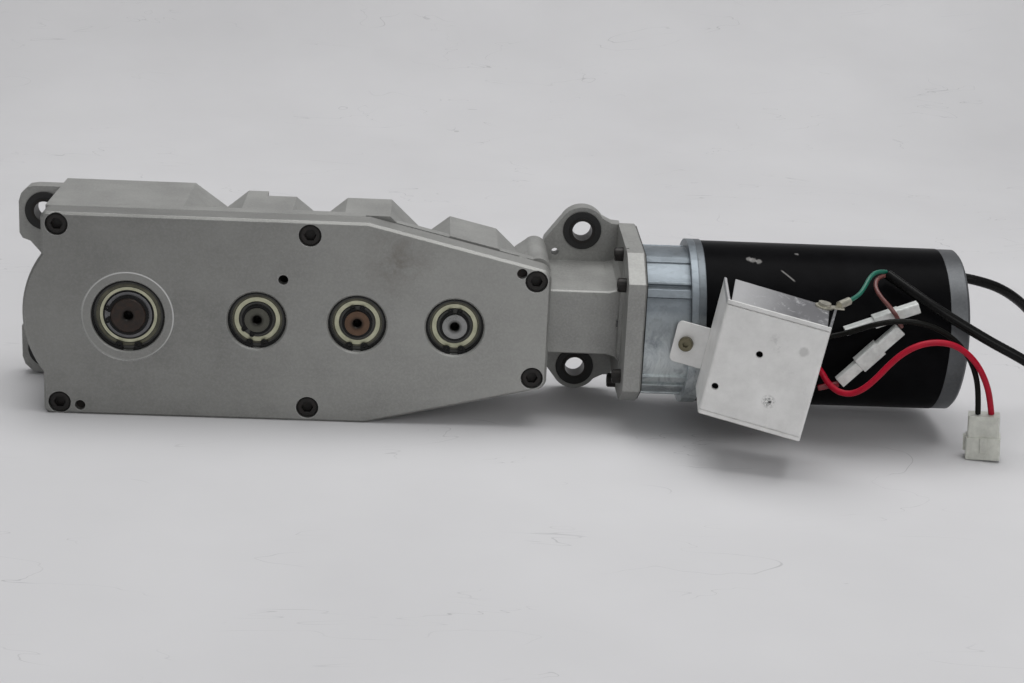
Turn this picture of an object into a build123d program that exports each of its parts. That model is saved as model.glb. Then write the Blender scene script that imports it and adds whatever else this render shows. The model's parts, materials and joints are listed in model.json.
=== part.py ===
"""In-line swing-door gearmotor: spur and bevel gearbox, planetary reducer, motor and terminal box.

Frame: +X runs from the output shaft towards the motor, the front cover faces -Y, +Z is up and the
part stands on its long narrow side. Depths are counted from the front cover's face towards +Y.
"""

import math
import os

from build123d import *

# ---------------------------------------------------------------- placing
OUTPUT_X = -172.45       # output shaft axis
COVER_Y = -16.40         # front face of the cover
SHAFT_Z = 50.0           # height of every shaft axis over the base
MOTOR_DEPTH = 27.3       # motor and reducer axis behind the cover face

# ---------------------------------------------------------------- gear train
BEVEL_TEETH = (15, 30)
BEVEL_MODULE = 1.5
STAGE_A = dict(module=1.0, pinion=22, gear=72)
STAGE_B = dict(module=1.0, pinion=24, gear=72)
STAGE_C = dict(module=1.5, pinion=27, gear=55)
SUN_TEETH = 18
PLANET_TEETH = 18
RING_TEETH = 54
FLANK_GAP = 0.07         # each flank is cut back by this much
PRESSURE_ANGLE = math.radians(20)

OUTPUT = 0.0
SECOND = OUTPUT + STAGE_C["module"] * (STAGE_C["pinion"] + STAGE_C["gear"]) / 2
THIRD = SECOND + STAGE_B["module"] * (STAGE_B["pinion"] + STAGE_B["gear"]) / 2
BEVEL = THIRD + STAGE_A["module"] * (STAGE_A["pinion"] + STAGE_A["gear"]) / 2
SHAFTS = (OUTPUT, SECOND, THIRD, BEVEL)

# ---------------------------------------------------------------- gearbox shells
HALF_HEIGHT = 50.0
LEFT_EDGE = -40.5
NOSE_RADIUS = 50.0
TAPER_START = 114.0
RIGHT_EDGE = 202.0
RIGHT_HALF = 29.2
COVER_DEPTH = 14.0
COVER_FACE = 5.0
GASKET = 0.4
JOINT_WIDTH, JOINT_DEPTH = 2.0, 1.8   # open joint behind the cover's tapered edges
RIM_BACK = 22.0
WALL = 5.0
HILLS = (  # left foot, top from, top to, right foot, foot height, top heights, depth
    dict(feet=(-50.0, 44.0), top=(-40.5, 24.0), foot_z=(50.0, 35.5), top_z=(50.0, 50.0), depth=74.0),
    dict(feet=(38.0, 90.0), top=(52.0, 76.5), foot_z=(38.5, 39.2), top_z=(50.0, 50.0), depth=51.0),
    dict(feet=(88.0, 146.0), top=(101.8, 123.7), foot_z=(38.5, 29.0), top_z=(50.0, 50.0), depth=53.0),
    dict(feet=(143.0, 196.0), top=(153.0, 176.5), foot_z=(33.5, 17.5), top_z=(41.4, 35.9), depth=58.0),
)
SHOULDER = dict(x=(44.0, 62.0), half=50.0, depth=61.0)
COVER_SCREWS = ((-33.0, 44.2), (86.3, 43.0), (194.9, 24.3))
DOWELS = ((-23.2, -45.4), (187.8, 28.0))
SIGHT_HOLE = (73.9, 20.8)

# bearing outside radius, shaft radius and width at each shaft's front end
BEARINGS = ((17.5, 8.5, 10.0), (14.0, 6.0, 8.0), (14.0, 6.0, 8.0), (14.0, 6.0, 8.0))
BEARING_FACE = 3.0
REAR_BEARINGS = ((21.0, 10.0, 58.0, 70.0), (14.0, 6.0, 46.0, 54.0), (14.0, 6.0, 43.0, 51.0),
                 (14.0, 6.0, 46.0, 54.0))
FIT = 0.02               # radial play of a seated ring
WHEEL_POCKETS = ((SECOND, 38.0, 31.0), (THIRD, 38.0, 22.4), (BEVEL, 24.8, 44.6))  # axis, radius, depth

# ---------------------------------------------------------------- mounting lugs
LUG_X = (-49.7, 220.3)
LUG_Z = 36.0
LUG_FRONT, LUG_BACK = 60.0, 69.0
LUG_RADIUS = 12.0
GROMMET_RADIUS = 9.6
SLEEVE_OUTER, SLEEVE_INNER = 6.4, 5.0

# ---------------------------------------------------------------- right-angle stage and flange
BOX_FRONT = 16.0
BOX_HALF = 16.0
STAGE_THROAT = ((6.5, 0.0, 14), (2.4, 1.0, 45))   # before the flange, grown by, leaning out by
FLANGE_X = (238.4, 247.2)
FLANGE_CORNERS = ((-36.5, -26.5), (-36.5, 27.0), (-19.0, 38.3), (33.0, 40.5), (36.5, 36.0), (36.5, -26.5),
                  (21.0, -36.0), (-21.0, -36.0))   # depth from the motor axis, height
FLANGE_SCREW_CIRCLE = 32.6
FLANGE_SCREW_ANGLES = (90, 135, 225, 270)
INPUT_BEARINGS = ((184.0, 192.0), (236.0, 244.0))
INPUT_RADIUS = 5.0
INPUT_BEARING_RADIUS = 11.0

# ---------------------------------------------------------------- reducer and motor
REDUCER_X = (247.7, 269.3)
LEDGE_START = 272.8
LEDGE_END = 276.3
REDUCER_RADIUS = 36.4
LEDGE_RADIUS = 40.6
RING_GEAR_RADIUS = 29.9
PLANET_FACE = (254.0, 264.0)
MOTOR_RADIUS = 40.0
CAN_WALL = 3.0
CAN_X = (276.3, 394.8)
CAP_END = 404.3

# ---------------------------------------------------------------- terminal box
BOX_CORNER = (279.0, -53.2, 33.4)   # top left corner of its front: along X, depth, above the axis
BOX_YAW, BOX_ROLL = 15.3, 9.9
BOX_SIZE = (48.3, 56.3, 38.1)
SHEET = 1.2
BEND = 1.1               # outside radius of its top and bottom bends
BOX_SPLAY = 6.4          # how far the left wall leans out at its back edge
TAB_CENTRE = (-14.2, -36.4)
TAB_SIZE = (15.8, 20.6)
TAB_SCREW = (-15.9, -36.3)
BOX_HOLES = ((20.2, -21.1), (4.4, -41.6))
GLAND_Z = 27.0
REDUCER_RIBS = ((38.3, 8.2, 37.4), (68.0, 4.6, 37.0))   # angle from the front, width, reach
REDUCER_GROOVES = ((40.6, 2.8, 1.7), (72.5, 1.2, 0.9), (86.0, 1.6, 0.6))   # angle, width, depth
LEAD_DEPTH = -24.0
TWO_PIN_UP = Vector(-0.070, 0, 0.9975)       # the connector hangs tilted and turned to the front
TWO_PIN_RIGHT = Vector(0.9649, -0.2538, 0.0677)
TWO_PIN_BLOCKS = (  # from, to above the bottom, width, depth
    (0, 11.0, 16.4, 9.8),
    (11.0, 21.8, 14.9, 8.4),
)
QUICK_CONNECTS = (  # start, slope in degrees, blocks in a row: from, to, height, depth
    ((342.4, -15.5, 9.5), 21.4, ((0, 14.8, 3.6, 6.0), (14.3, 27, 5.8, 6.6), (26.5, 36.6, 5.2, 6.0))),
    ((341.5, -18.0, -15.3), 45.9, ((0, 13, 5.4, 5.0), (12.5, 25.5, 7.8, 6.2), (25, 38.4, 5.8, 5.6))),
    ((331.5, -18.0, -18.6), 15.0, ((0, 10.0, 2.6, 2.6),)),
)
RING_TERMINAL = (42.1, 0.0, 31.0)

# ---------------------------------------------------------------- cords
CORDS = {  # diameter, then the route: along X, depth, height over the shaft axes
    "black_lead": (2.7, (
        (298, -12.65, 4), (298.3, -20, 4.1), (303.5, -25.4, 4.8), (311.1, -26.1, 5.6),
        (319.2, -23.6, 6.3), (328, -20.6, 7), (337.3, -20.5, 8.7), (345, -22.6, 11.7),
        (352.8, -25, 15.6), (362, -26, 18.2), (371.5, -26, 18.4), (380.5, -26, 16.6), (388.6, -26, 13),
        (395.8, -26, 7.5), (401.6, -26, 0.3), (405.4, -25.8, -8), (407.6, -25.1, -17.4),
        (408.7, -24, -26.9))),
    "red_lead": (3.0, (
        (298, -12.23, -7), (298.3, -20.3, -6.8), (303.8, -26, -5.6), (311.8, -26.7, -4.0),
        (319.6, -23.9, -2), (326.6, -20.6, -4.2), (331.8, -19.9, -9.4), (335, -22.3, -14.6),
        (339.6, -26, -17.8), (345.4, -28.9, -17.8), (351, -30.4, -14.2), (356.4, -30.6, -8.6),
        (361.6, -30.6, -2), (367.4, -30.6, 4), (374.8, -30.6, 8.4), (382.8, -30.6, 10.1),
        (391, -30.6, 9.2), (398.4, -30.2, 5), (404.6, -29.4, -1.4), (409.2, -28.2, -9),
        (412.8, -26.4, -17.5), (415.2, -24, -26.8))),
    "green_wire": (2.1, (
        (362.6, -2.2, 35.9), (357.6, -5.6, 37.2), (352.8, -11, 35.4), (349.4, -17, 31.8),
        (345.4, -22.8, 28.9), (340.3, -27, 27.6))),
    "brown_wire": (2.1, (
        (362.3, -2.8, 34.4), (357.4, -7, 34.5), (355.3, -12, 31.3), (357.3, -17, 27.6),
        (361.6, -20.8, 23.6), (365.6, -21.6, 18.8), (368.4, -19.4, 13.6))),
    "jacketed_cable": (5.0, (
        (407.3, 27.3, 27), (413.6, 27.4, 26.2), (427.5, 29.5, 22.2), (440.5, 35.5, 14.2), (451.5, 43, 4.2), (461, 49.5, -7.5),
        (469, 53, -20), (476.3, 51.3, -32), (482.3, 43.5, -41.8), (486.5, 31.4, -46.8),
        (489, 19.5, -47.4), (487.5, 5.5, -46.9), (481.8, -7, -43), (472.5, -16.2, -35),
        (460.8, -21.8, -25), (448.5, -24.6, -14.5), (437.5, -25, -4.8), (425.5, -23.8, 1.9),
        (413, -21.8, 7.6), (399.5, -19.2, 14.6), (387, -15.9, 21.2), (375.5, -10, 27.8),
        (363.2, -2.3, 34.9))),
}

os.makedirs("parts", exist_ok=True)


def at(x, depth, z):
    """A point given along X, as a depth and as a height over the shaft axes."""
    return (OUTPUT_X + x, COVER_Y + depth, SHAFT_Z + z)


def front_plane(depth, x=0.0, z=0.0):
    """A plane parallel to the cover, seen from the front: its normal points at -Y."""
    return Plane(origin=at(x, depth, z), x_dir=(1, 0, 0), z_dir=(0, -1, 0))


def cross_plane(x):
    """A plane across the motor axis: local x is depth, local y is up, the normal is +X."""
    return Plane(origin=at(x, MOTOR_DEPTH, 0), x_dir=(0, 1, 0), z_dir=(1, 0, 0))


def finish(builder, name):
    """Labels a piece and writes its STEP file."""
    builder.part.label = name
    export_step(builder.part, f"parts/{name}.step")


def ring(plane, outer, inner, length, mode=Mode.ADD):
    """A tube or disc raised from a plane by length, which may be negative."""
    with BuildSketch(plane) as section:
        Circle(outer)
        if inner:
            Circle(inner, mode=Mode.SUBTRACT)
    extrude(section.sketch, amount=length, mode=mode)


def shaft_rings(x, bands, mode=Mode.ADD):
    """Rings about a shaft parallel to Y; each band is (front depth, back depth, outer, inner)."""
    for front, back, outer, inner in bands:
        ring(front_plane(front, x), outer, inner, front - back, mode)


def countersink(plane, radius, depth):
    """Cuts a 45 degree countersink into a face."""
    with BuildSketch(plane) as mouth:
        Circle(radius)
    extrude(mouth.sketch, amount=-depth, taper=45, mode=Mode.SUBTRACT)


def cross_rings(bands, mode=Mode.ADD):
    """Rings about the motor axis; each band is (from x, to x, outer, inner)."""
    for low, high, outer, inner in bands:
        ring(cross_plane(low), outer, inner, high - low, mode)


# ---------------------------------------------------------------- gear teeth
def involute(angle):
    return math.tan(angle) - angle


def half_tooth(radius, teeth, module, thinning):
    """Half of a tooth's angle at a radius on an involute flank."""
    pitch = teeth * module / 2
    base = pitch * math.cos(PRESSURE_ANGLE)
    bend = involute(math.acos(min(1.0, base / radius)))
    return math.pi / (2 * teeth) - thinning / pitch + involute(PRESSURE_ANGLE) - bend


def gear_section(plane, teeth, module, turn=0.0, thinning=FLANK_GAP, tip=0.95, root=1.25):
    """The section of a spur gear with a tooth at the angle turn, in degrees."""
    pitch = teeth * module / 2
    base = pitch * math.cos(PRESSURE_ANGLE)
    tip_radius, root_radius = pitch + tip * module, pitch - root * module
    flank_start = max(root_radius, base)
    radii = (flank_start, (flank_start + tip_radius) / 2, tip_radius)
    halves = [half_tooth(radius, teeth, module, thinning) for radius in radii]

    def point(radius, angle):
        return (radius * math.cos(angle), radius * math.sin(angle))

    with BuildSketch(plane) as section:
        with BuildLine():
            for k in range(teeth):
                middle = math.radians(turn) + 2 * math.pi * k / teeth
                following = middle + 2 * math.pi / teeth
                rising = [point(r, middle - h) for r, h in zip(radii, halves)]
                falling = [point(r, middle + h) for r, h in zip(radii, halves)][::-1]
                foot = point(root_radius, middle + halves[0])
                next_foot = point(root_radius, following - halves[0])
                ThreePointArc(*rising)
                Line(rising[-1], falling[0])
                ThreePointArc(*falling)
                if flank_start > root_radius:
                    Line(falling[-1], foot)
                    Line(next_foot, point(flank_start, following - halves[0]))
                Line(foot, next_foot)
        make_face()
    return section.sketch


def bevel_gear(apex, axis, contact, own_teeth, other_teeth, turn, face=7.5):
    """A straight bevel gear; teeth are lofted between the two ends of the pitch cone."""
    pitch = own_teeth * BEVEL_MODULE / 2
    other = other_teeth * BEVEL_MODULE / 2
    cone = math.hypot(pitch, other)
    lean = math.atan2(pitch, other)
    virtual = own_teeth / math.cos(lean)
    sections = (1.0, 1.0 - face / cone)
    tip, root = 0.9 * BEVEL_MODULE, 1.2 * BEVEL_MODULE
    virtual_pitch = virtual * BEVEL_MODULE / 2

    def half_width(height):
        radius = max(virtual_pitch + height, virtual_pitch * math.cos(PRESSURE_ANGLE))
        return radius * half_tooth(radius, virtual, BEVEL_MODULE, 0.11)

    heights = (-root - 0.4, -root * 0.35, tip * 0.35, tip)
    side = [(half_width(h), h) for h in heights]
    profile = side + [(-w, h) for w, h in reversed(side)]
    axis, contact = Vector(*axis), Vector(*contact)
    across = axis.cross(contact)

    def tooth_plane(scale):
        outward = axis * math.cos(lean) + contact * math.sin(lean)
        centre = Vector(*apex) + outward * (cone * scale)
        return Plane(origin=centre, x_dir=across, z_dir=outward * -1)

    def tooth_face(scale, flip):
        with BuildSketch(tooth_plane(scale)) as section:
            with BuildLine():
                Polyline(*[(w * scale, flip * h * scale) for w, h in profile], close=True)
            make_face()
        return section.sketch

    up_sign = 1 if tooth_plane(1.0).y_dir.dot(contact) > 0 else -1
    with BuildPart() as tooth:
        loft([tooth_face(scale, up_sign) for scale in sections])
    turned = [
        tooth.part.rotate(Axis(apex, tuple(axis)), turn + 360 * k / own_teeth)
        for k in range(own_teeth)
    ]
    drop = root * 0.98
    outline = []
    for scale in sections:
        along = cone * scale * math.cos(lean) + drop * scale * math.sin(lean)
        radius = cone * scale * math.sin(lean) - drop * scale * math.cos(lean)
        outline.append((radius, along))
    return turned, outline, lean


# ---------------------------------------------------------------- outlines of the gearbox
def gearbox_outline(plane, inset=0.0):
    """The cover's outline: a tapered bar with a round nose about the output shaft."""
    with BuildSketch(plane) as outline:
        with BuildLine():
            Polyline((LEFT_EDGE, -HALF_HEIGHT), (TAPER_START, -HALF_HEIGHT), (RIGHT_EDGE, -RIGHT_HALF),
                     (RIGHT_EDGE, RIGHT_HALF), (TAPER_START, HALF_HEIGHT), (LEFT_EDGE, HALF_HEIGHT),
                     close=True)
        make_face()
        fillet(outline.vertices().group_by(Axis.X)[-1], radius=5.5)
        fillet(outline.vertices().group_by(Axis.X)[0], radius=3.0)
        Circle(NOSE_RADIUS)
        if inset:
            offset(amount=-inset, kind=Kind.INTERSECTION)
    return outline.sketch


def hill_outline(plane, hill, inset=0.0):
    """The trapezoid that houses one gear, mirrored below the shaft line."""
    left, right = hill["feet"]
    top_left, top_right = hill["top"]
    foot_left, foot_right = hill["foot_z"]
    high_left, high_right = hill["top_z"]
    upper = [(left, foot_left), (top_left, high_left), (top_right, high_right), (right, foot_right)]
    if left < LEFT_EDGE:
        upper = upper[1:]
    lower = [(x, -z) for x, z in reversed(upper)]
    with BuildSketch(plane) as outline:
        with BuildLine():
            Polyline(*upper, *lower, close=True)
        make_face()
        if left < LEFT_EDGE:
            Circle(NOSE_RADIUS)
        if inset:
            offset(amount=-inset, kind=Kind.INTERSECTION)
    return outline.sketch


def mirrored(points):
    """Each (x, z) place followed by its mirror below the shaft line."""
    return [(x, sign * z) for x, z in points for sign in (1, -1)]


# ---------------------------------------------------------------- front cover
with BuildPart() as front_cover:
    extrude(gearbox_outline(front_plane(0)), amount=-COVER_DEPTH)
    chamfer(front_cover.faces().sort_by(Axis.Y)[0].outer_wire().edges(), length=1.2)
    extrude(gearbox_outline(front_plane(COVER_FACE), WALL), amount=COVER_FACE - COVER_DEPTH,
            mode=Mode.SUBTRACT)
    for x, (outer, _, width) in zip(SHAFTS, BEARINGS):
        shaft_rings(x, [(COVER_FACE, COVER_DEPTH - 0.3, outer + 4.5, 0)])
    for x, z in mirrored(COVER_SCREWS):
        ring(front_plane(COVER_FACE, x, z), 7.0, 0, COVER_FACE - COVER_DEPTH)
    extrude(gearbox_outline(front_plane(-5)), amount=-40, mode=Mode.INTERSECT)
    ring(front_plane(0, OUTPUT), 22.2, 0, -0.3, Mode.SUBTRACT)
    for x, (outer, _, width) in zip(SHAFTS, BEARINGS):
        seat_end = BEARING_FACE + width
        bands = [(0, seat_end, outer + FIT, 0), (seat_end - 1, COVER_DEPTH, outer - 2.4, 0),
                 (1.7, BEARING_FACE - 0.1, outer + 0.9, 0)]
        shaft_rings(x, bands, Mode.SUBTRACT)
        countersink(front_plane(0, x), outer + 0.8, 0.8)
    for x, z in mirrored(COVER_SCREWS):
        ring(front_plane(0, x, z), 5.4, 0, -7.2, Mode.SUBTRACT)
        ring(front_plane(0, x, z), 3.3, 0, -COVER_DEPTH - 1, Mode.SUBTRACT)
    for x, z in DOWELS:
        ring(front_plane(0, x, z), 2.5, 0, -COVER_DEPTH - 1, Mode.SUBTRACT)
    ring(front_plane(0, *SIGHT_HOLE), 2.4, 0, -COVER_FACE - 1, Mode.SUBTRACT)
finish(front_cover, "front_cover")

with BuildPart() as cover_gasket:
    extrude(gearbox_outline(front_plane(COVER_DEPTH), 0.7), amount=-GASKET)
    extrude(gearbox_outline(front_plane(COVER_DEPTH), WALL - 0.6), amount=-GASKET, mode=Mode.SUBTRACT)
    for x, z in mirrored(COVER_SCREWS) + list(DOWELS):
        ring(front_plane(COVER_DEPTH, x, z), 3.4, 0, -GASKET, Mode.SUBTRACT)
finish(cover_gasket, "cover_gasket")


def cap_screws(plane, places, head, socket, shank, head_height, length):
    """Socket head screws with their head tops in a plane, shanks running against its normal."""
    for place in places:
        spot = Plane(plane.location * Location(place + (0,)))
        ring(spot, head, 0, -head_height)
        ring(spot, shank, 0, -length)
        with BuildSketch(spot) as hexagon:
            RegularPolygon(socket, 6)
        extrude(hexagon.sketch, amount=-head_height * 0.55, mode=Mode.SUBTRACT)
        with BuildSketch(spot) as rim:
            Circle(head + 1)
            Circle(head - 0.5, mode=Mode.SUBTRACT)
        extrude(rim.sketch, amount=-0.4, mode=Mode.SUBTRACT)


with BuildPart() as cover_screws:
    cap_screws(front_plane(0.9), mirrored(COVER_SCREWS), head=5.0, socket=2.9, shank=2.95,
               head_height=6.0, length=22.6)
finish(cover_screws, "cover_screws")

with BuildPart() as cover_dowels:
    for x, z in DOWELS:
        ring(front_plane(4.0, x, z), 2.48, 0, -16.0)
finish(cover_dowels, "cover_dowels")


# ---------------------------------------------------------------- gearbox housing
def lug_web(plane, sign, right):
    """The flat web that carries one mounting lug."""
    with BuildSketch(plane) as web:
        if right:
            x = LUG_X[1]
            outline = [(196, 10), (201.5, 31), (209.6, 41.6), (x, 47), (230.6, 42.4), (235, 40.2),
                       (FLANGE_X[0] + 1, 39.8), (FLANGE_X[0] + 1, 10)]
        else:
            x = LUG_X[0]
            outline = [(-30, 8), (-48, 10.5), (-52, 14.5), (-57, 20.3), (-60.9, 21.7), (-62.4, 24.5),
                       (-62.4, 40.5), (-61.1, 44.6), (-57.5, 48), (-53.5, 48.7), (-30, 48.7)]
        with BuildLine():
            Polyline(*[(px, sign * pz) for px, pz in outline], close=True)
        make_face()
        with Locations((x, sign * LUG_Z)):
            Circle(LUG_RADIUS if right else 12.7)
        if not right:
            with Locations((-30, sign * 54.8)):
                Rectangle(80, 12.2, mode=Mode.SUBTRACT)
    return web.sketch


def stage_section(x, grown=0.0):
    """The right-angle stage's outline across the motor axis, with a top that rises to the back."""
    front = BOX_FRONT - MOTOR_DEPTH
    with BuildSketch(cross_plane(x)) as section:
        with BuildLine():
            Polyline((front, -BOX_HALF), (front, BOX_HALF), (32, 20.0), (36, 19.0), (36, -19.0),
                     (32, -20.0), close=True)
        make_face()
        fillet(section.vertices(), radius=2.0)
        if grown:
            offset(amount=grown)
    return section.sketch


def flange_section(x, inset=0.0):
    """The flange's outline across the motor axis: a square with cut corners, higher at the back."""
    with BuildSketch(cross_plane(x)) as section:
        with BuildLine():
            Polyline(*FLANGE_CORNERS, close=True)
        make_face()
        if inset:
            offset(amount=-inset, kind=Kind.INTERSECTION)
    return section.sketch


FLANGE_SCREWS = [
    (FLANGE_SCREW_CIRCLE * math.cos(math.radians(angle)),
     FLANGE_SCREW_CIRCLE * math.sin(math.radians(angle)))
    for angle in FLANGE_SCREW_ANGLES
]
HOUSING_FRONT = COVER_DEPTH + GASKET

with BuildPart() as gearbox_housing:
    extrude(gearbox_outline(front_plane(HOUSING_FRONT)), amount=HOUSING_FRONT - RIM_BACK)
    for hill in HILLS:
        extrude(hill_outline(front_plane(HOUSING_FRONT), hill), amount=HOUSING_FRONT - hill["depth"])
    with BuildSketch(front_plane(RIM_BACK - 1)) as shoulder:
        with BuildLine():
            Polyline((38, -38.5), (52, -50), (62, -50), (62, 50), (52, 50), (38, 38.5), close=True)
        make_face()
    extrude(shoulder.sketch, amount=RIM_BACK - 1 - SHOULDER["depth"])
    shaft_rings(SECOND, [(40, 59, 19.0, 0)])
    # right-angle stage box, widening into the flange
    extrude(stage_section(RIGHT_EDGE - 12), amount=FLANGE_X[0] - RIGHT_EDGE + 12)
    for reach, grown, lean in STAGE_THROAT:
        extrude(stage_section(FLANGE_X[0] - reach, grown), amount=reach, taper=-lean)
    extrude(flange_section(FLANGE_X[0]), amount=FLANGE_X[1] - FLANGE_X[0])
    for sign in (1, -1):
        for right in (True, False):
            extrude(lug_web(front_plane(LUG_FRONT), sign, right), amount=LUG_FRONT - LUG_BACK)
        with BuildSketch(front_plane(HOUSING_FRONT)) as corner_boss:
            with Locations((196.3, sign * 25.8)):
                Circle(6.1)
            with BuildLine():
                Polyline((184, sign * 22), (187, sign * 26.4), (193.9, sign * 31.4), (196.3, sign * 25.8),
                         close=True)
            make_face()
        extrude(corner_boss.sketch, amount=HOUSING_FRONT - 62)
    chamfer(gearbox_housing.faces().filter_by(Plane.YZ).group_by(Axis.X)[-1].edges().filter_by(GeomType.LINE),
            length=0.8)
    # open joint along both tapers
    with BuildSketch(front_plane(HOUSING_FRONT)) as joint:
        with BuildLine():
            Polyline((TAPER_START - 2, -70), (240, -70), (240, 70), (TAPER_START - 2, 70), close=True)
        make_face()
        add(gearbox_outline(front_plane(HOUSING_FRONT), JOINT_DEPTH), mode=Mode.SUBTRACT)
    extrude(joint.sketch, amount=-JOINT_WIDTH, mode=Mode.SUBTRACT)
    # cavities
    extrude(gearbox_outline(front_plane(HOUSING_FRONT), WALL), amount=HOUSING_FRONT - RIM_BACK,
            mode=Mode.SUBTRACT)
    for hill in HILLS:
        extrude(hill_outline(front_plane(HOUSING_FRONT), hill, WALL),
                amount=HOUSING_FRONT - (hill["depth"] - 8.0), mode=Mode.SUBTRACT)
    shaft_rings(SECOND, [(HOUSING_FRONT, 45.8, 22.6, 0)], Mode.SUBTRACT)
    for x, radius, depth in WHEEL_POCKETS:
        ring(front_plane(HOUSING_FRONT - 1, x), radius, 0, HOUSING_FRONT - 1 - depth, Mode.SUBTRACT)
    # bosses for the cover screws, rear bearings and the input shaft's inner bearing
    for x, z in mirrored(COVER_SCREWS):
        ring(front_plane(HOUSING_FRONT, x, z), 5.7, 0, HOUSING_FRONT - 26)
    for x, z in DOWELS:
        ring(front_plane(HOUSING_FRONT, x, z), 4.5, 0, HOUSING_FRONT - RIM_BACK)
    for x, (outer, _, front, back) in zip(SHAFTS, REAR_BEARINGS):
        shaft_rings(x, [(front - 0.4, back + 2, outer + 4.0, 0)])
    with BuildSketch(cross_plane(INPUT_BEARINGS[0][0])) as web:
        Rectangle(2 * (MOTOR_DEPTH - HOUSING_FRONT) - 1, 34)
        with Locations((12, 0)):
            Rectangle(30, 34)
    extrude(web.sketch, amount=10)
    # bores
    for x, (outer, shaft, front, back) in zip(SHAFTS, REAR_BEARINGS):
        relief = 12.0 if x == OUTPUT else 0.7
        shaft_rings(x, [(front - 1, back, outer + FIT, 0), (back - 1, back + relief, shaft + 3.0, 0)],
                    Mode.SUBTRACT)
    low, high = INPUT_BEARINGS[0]
    cross_rings([(low - 1, high, INPUT_BEARING_RADIUS + FIT, 0), (high - 1, 260, 7.0, 0),
                 (INPUT_BEARINGS[1][0], 260, INPUT_BEARING_RADIUS + FIT, 0)], Mode.SUBTRACT)
    for x in LUG_X:
        for sign in (1, -1):
            ring(front_plane(LUG_FRONT - 2, x, sign * LUG_Z), GROMMET_RADIUS + FIT, 0, -14, Mode.SUBTRACT)
    for x, z in mirrored(COVER_SCREWS):
        ring(front_plane(HOUSING_FRONT - 1, x, z), 3.0, 0, -10.6, Mode.SUBTRACT)
    for x, z in DOWELS:
        ring(front_plane(HOUSING_FRONT - 1, x, z), 2.5, 0, -7.5, Mode.SUBTRACT)
    for depth, z in FLANGE_SCREWS:
        screw_axis = cross_plane(FLANGE_X[0]).location * Location((depth, z, 0))
        ring(Plane(screw_axis), 3.9, 0, -9.0, Mode.SUBTRACT)
        ring(Plane(screw_axis), 2.1, 0, 20, Mode.SUBTRACT)
    ring(front_plane(LUG_FRONT - 2, 207.0, 24.5), 1.9, 0, -20, Mode.SUBTRACT)
finish(gearbox_housing, "gearbox_housing")


# ---------------------------------------------------------------- flange joint and mountings
with BuildPart() as flange_gasket:
    extrude(flange_section(FLANGE_X[1], 1.0), amount=REDUCER_X[0] - FLANGE_X[1])
    ring(cross_plane(FLANGE_X[1]), 27.0, 0, 2, Mode.SUBTRACT)
    for depth, z in FLANGE_SCREWS:
        ring(Plane(cross_plane(FLANGE_X[1]).location * Location((depth, z, 0))), 2.2, 0, 2,
             Mode.SUBTRACT)
finish(flange_gasket, "flange_gasket")

with BuildPart() as flange_screws:
    cap_screws(Plane(origin=at(FLANGE_X[0] - 4.2, MOTOR_DEPTH, 0), x_dir=(0, -1, 0), z_dir=(-1, 0, 0)),
               [(-depth, z) for depth, z in FLANGE_SCREWS], head=3.5, socket=1.7, shank=1.95,
               head_height=4.18, length=20.0)
finish(flange_screws, "flange_screws")

with BuildPart() as mount_grommets:
    for x in LUG_X:
        for sign in (1, -1):
            seat = front_plane(LUG_FRONT - 1.0, x, sign * LUG_Z)
            ring(seat, GROMMET_RADIUS, SLEEVE_OUTER + FIT, -11.0)
finish(mount_grommets, "mount_grommets")

with BuildPart() as grommet_sleeves:
    for x in LUG_X:
        for sign in (1, -1):
            ring(front_plane(LUG_FRONT - 1.4, x, sign * LUG_Z), SLEEVE_OUTER, SLEEVE_INNER, -12.0)
finish(grommet_sleeves, "grommet_sleeves")


# ---------------------------------------------------------------- bearings, seal and circlips
def spaced_circlip(plane, outer, inner, gap_angle, lug_radius, lug_inside, thickness):
    """A retaining ring with a gap at gap_angle and a drilled lug on each side of it."""
    side = -1 if lug_inside else 1
    reach = (inner if lug_inside else outer) + side * lug_radius * 0.55
    with BuildSketch(plane) as clip:
        Circle(outer)
        Circle(inner, mode=Mode.SUBTRACT)
        with PolarLocations(reach, 2, start_angle=gap_angle - 17, angular_range=34, endpoint=True):
            Circle(lug_radius)
        with Locations(Rotation(0, 0, gap_angle)):
            with Locations(((outer + inner) / 2, 0)):
                Rectangle(outer * 0.9, outer * 0.26, mode=Mode.SUBTRACT)
        with PolarLocations(reach, 2, start_angle=gap_angle - 17, angular_range=34, endpoint=True):
            Circle(lug_radius * 0.42, mode=Mode.SUBTRACT)
    extrude(clip.sketch, amount=-thickness)


with BuildPart() as bore_circlips:
    for x, (outer, _, _) in zip(SHAFTS, BEARINGS):
        spaced_circlip(front_plane(1.8, x), outer + 0.6, outer - 1.0, -90, 1.8, True, 1.1)
finish(bore_circlips, "bore_circlips")

with BuildPart() as bearing_outer_races:
    for x, (outer, shaft, width) in zip(SHAFTS, BEARINGS):
        shaft_rings(x, [(BEARING_FACE, BEARING_FACE + width, outer, outer - 2.0)])
finish(bearing_outer_races, "bearing_outer_races")

with BuildPart() as bearing_shields:
    for x, (outer, shaft, width) in zip(SHAFTS, BEARINGS):
        inner = shaft + (outer - shaft) * 0.36
        shaft_rings(x, [(BEARING_FACE + 0.4, BEARING_FACE + 0.9, outer - 2.0 - FIT, inner)])
        shaft_rings(x, [(BEARING_FACE + 0.2, BEARING_FACE + 0.9, outer - 2.6, outer - 3.4)])
finish(bearing_shields, "bearing_shields")

with BuildPart() as rear_bearings:
    for x, (outer, shaft, front, back) in zip(SHAFTS, REAR_BEARINGS):
        shaft_rings(x, [(front, back, outer, shaft + 0.05)])
finish(rear_bearings, "rear_bearings")

with BuildPart() as output_seal:
    shaft_rings(OUTPUT, [(70.3, 74.0, 12.98, 10.05)])
finish(output_seal, "output_seal")

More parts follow.
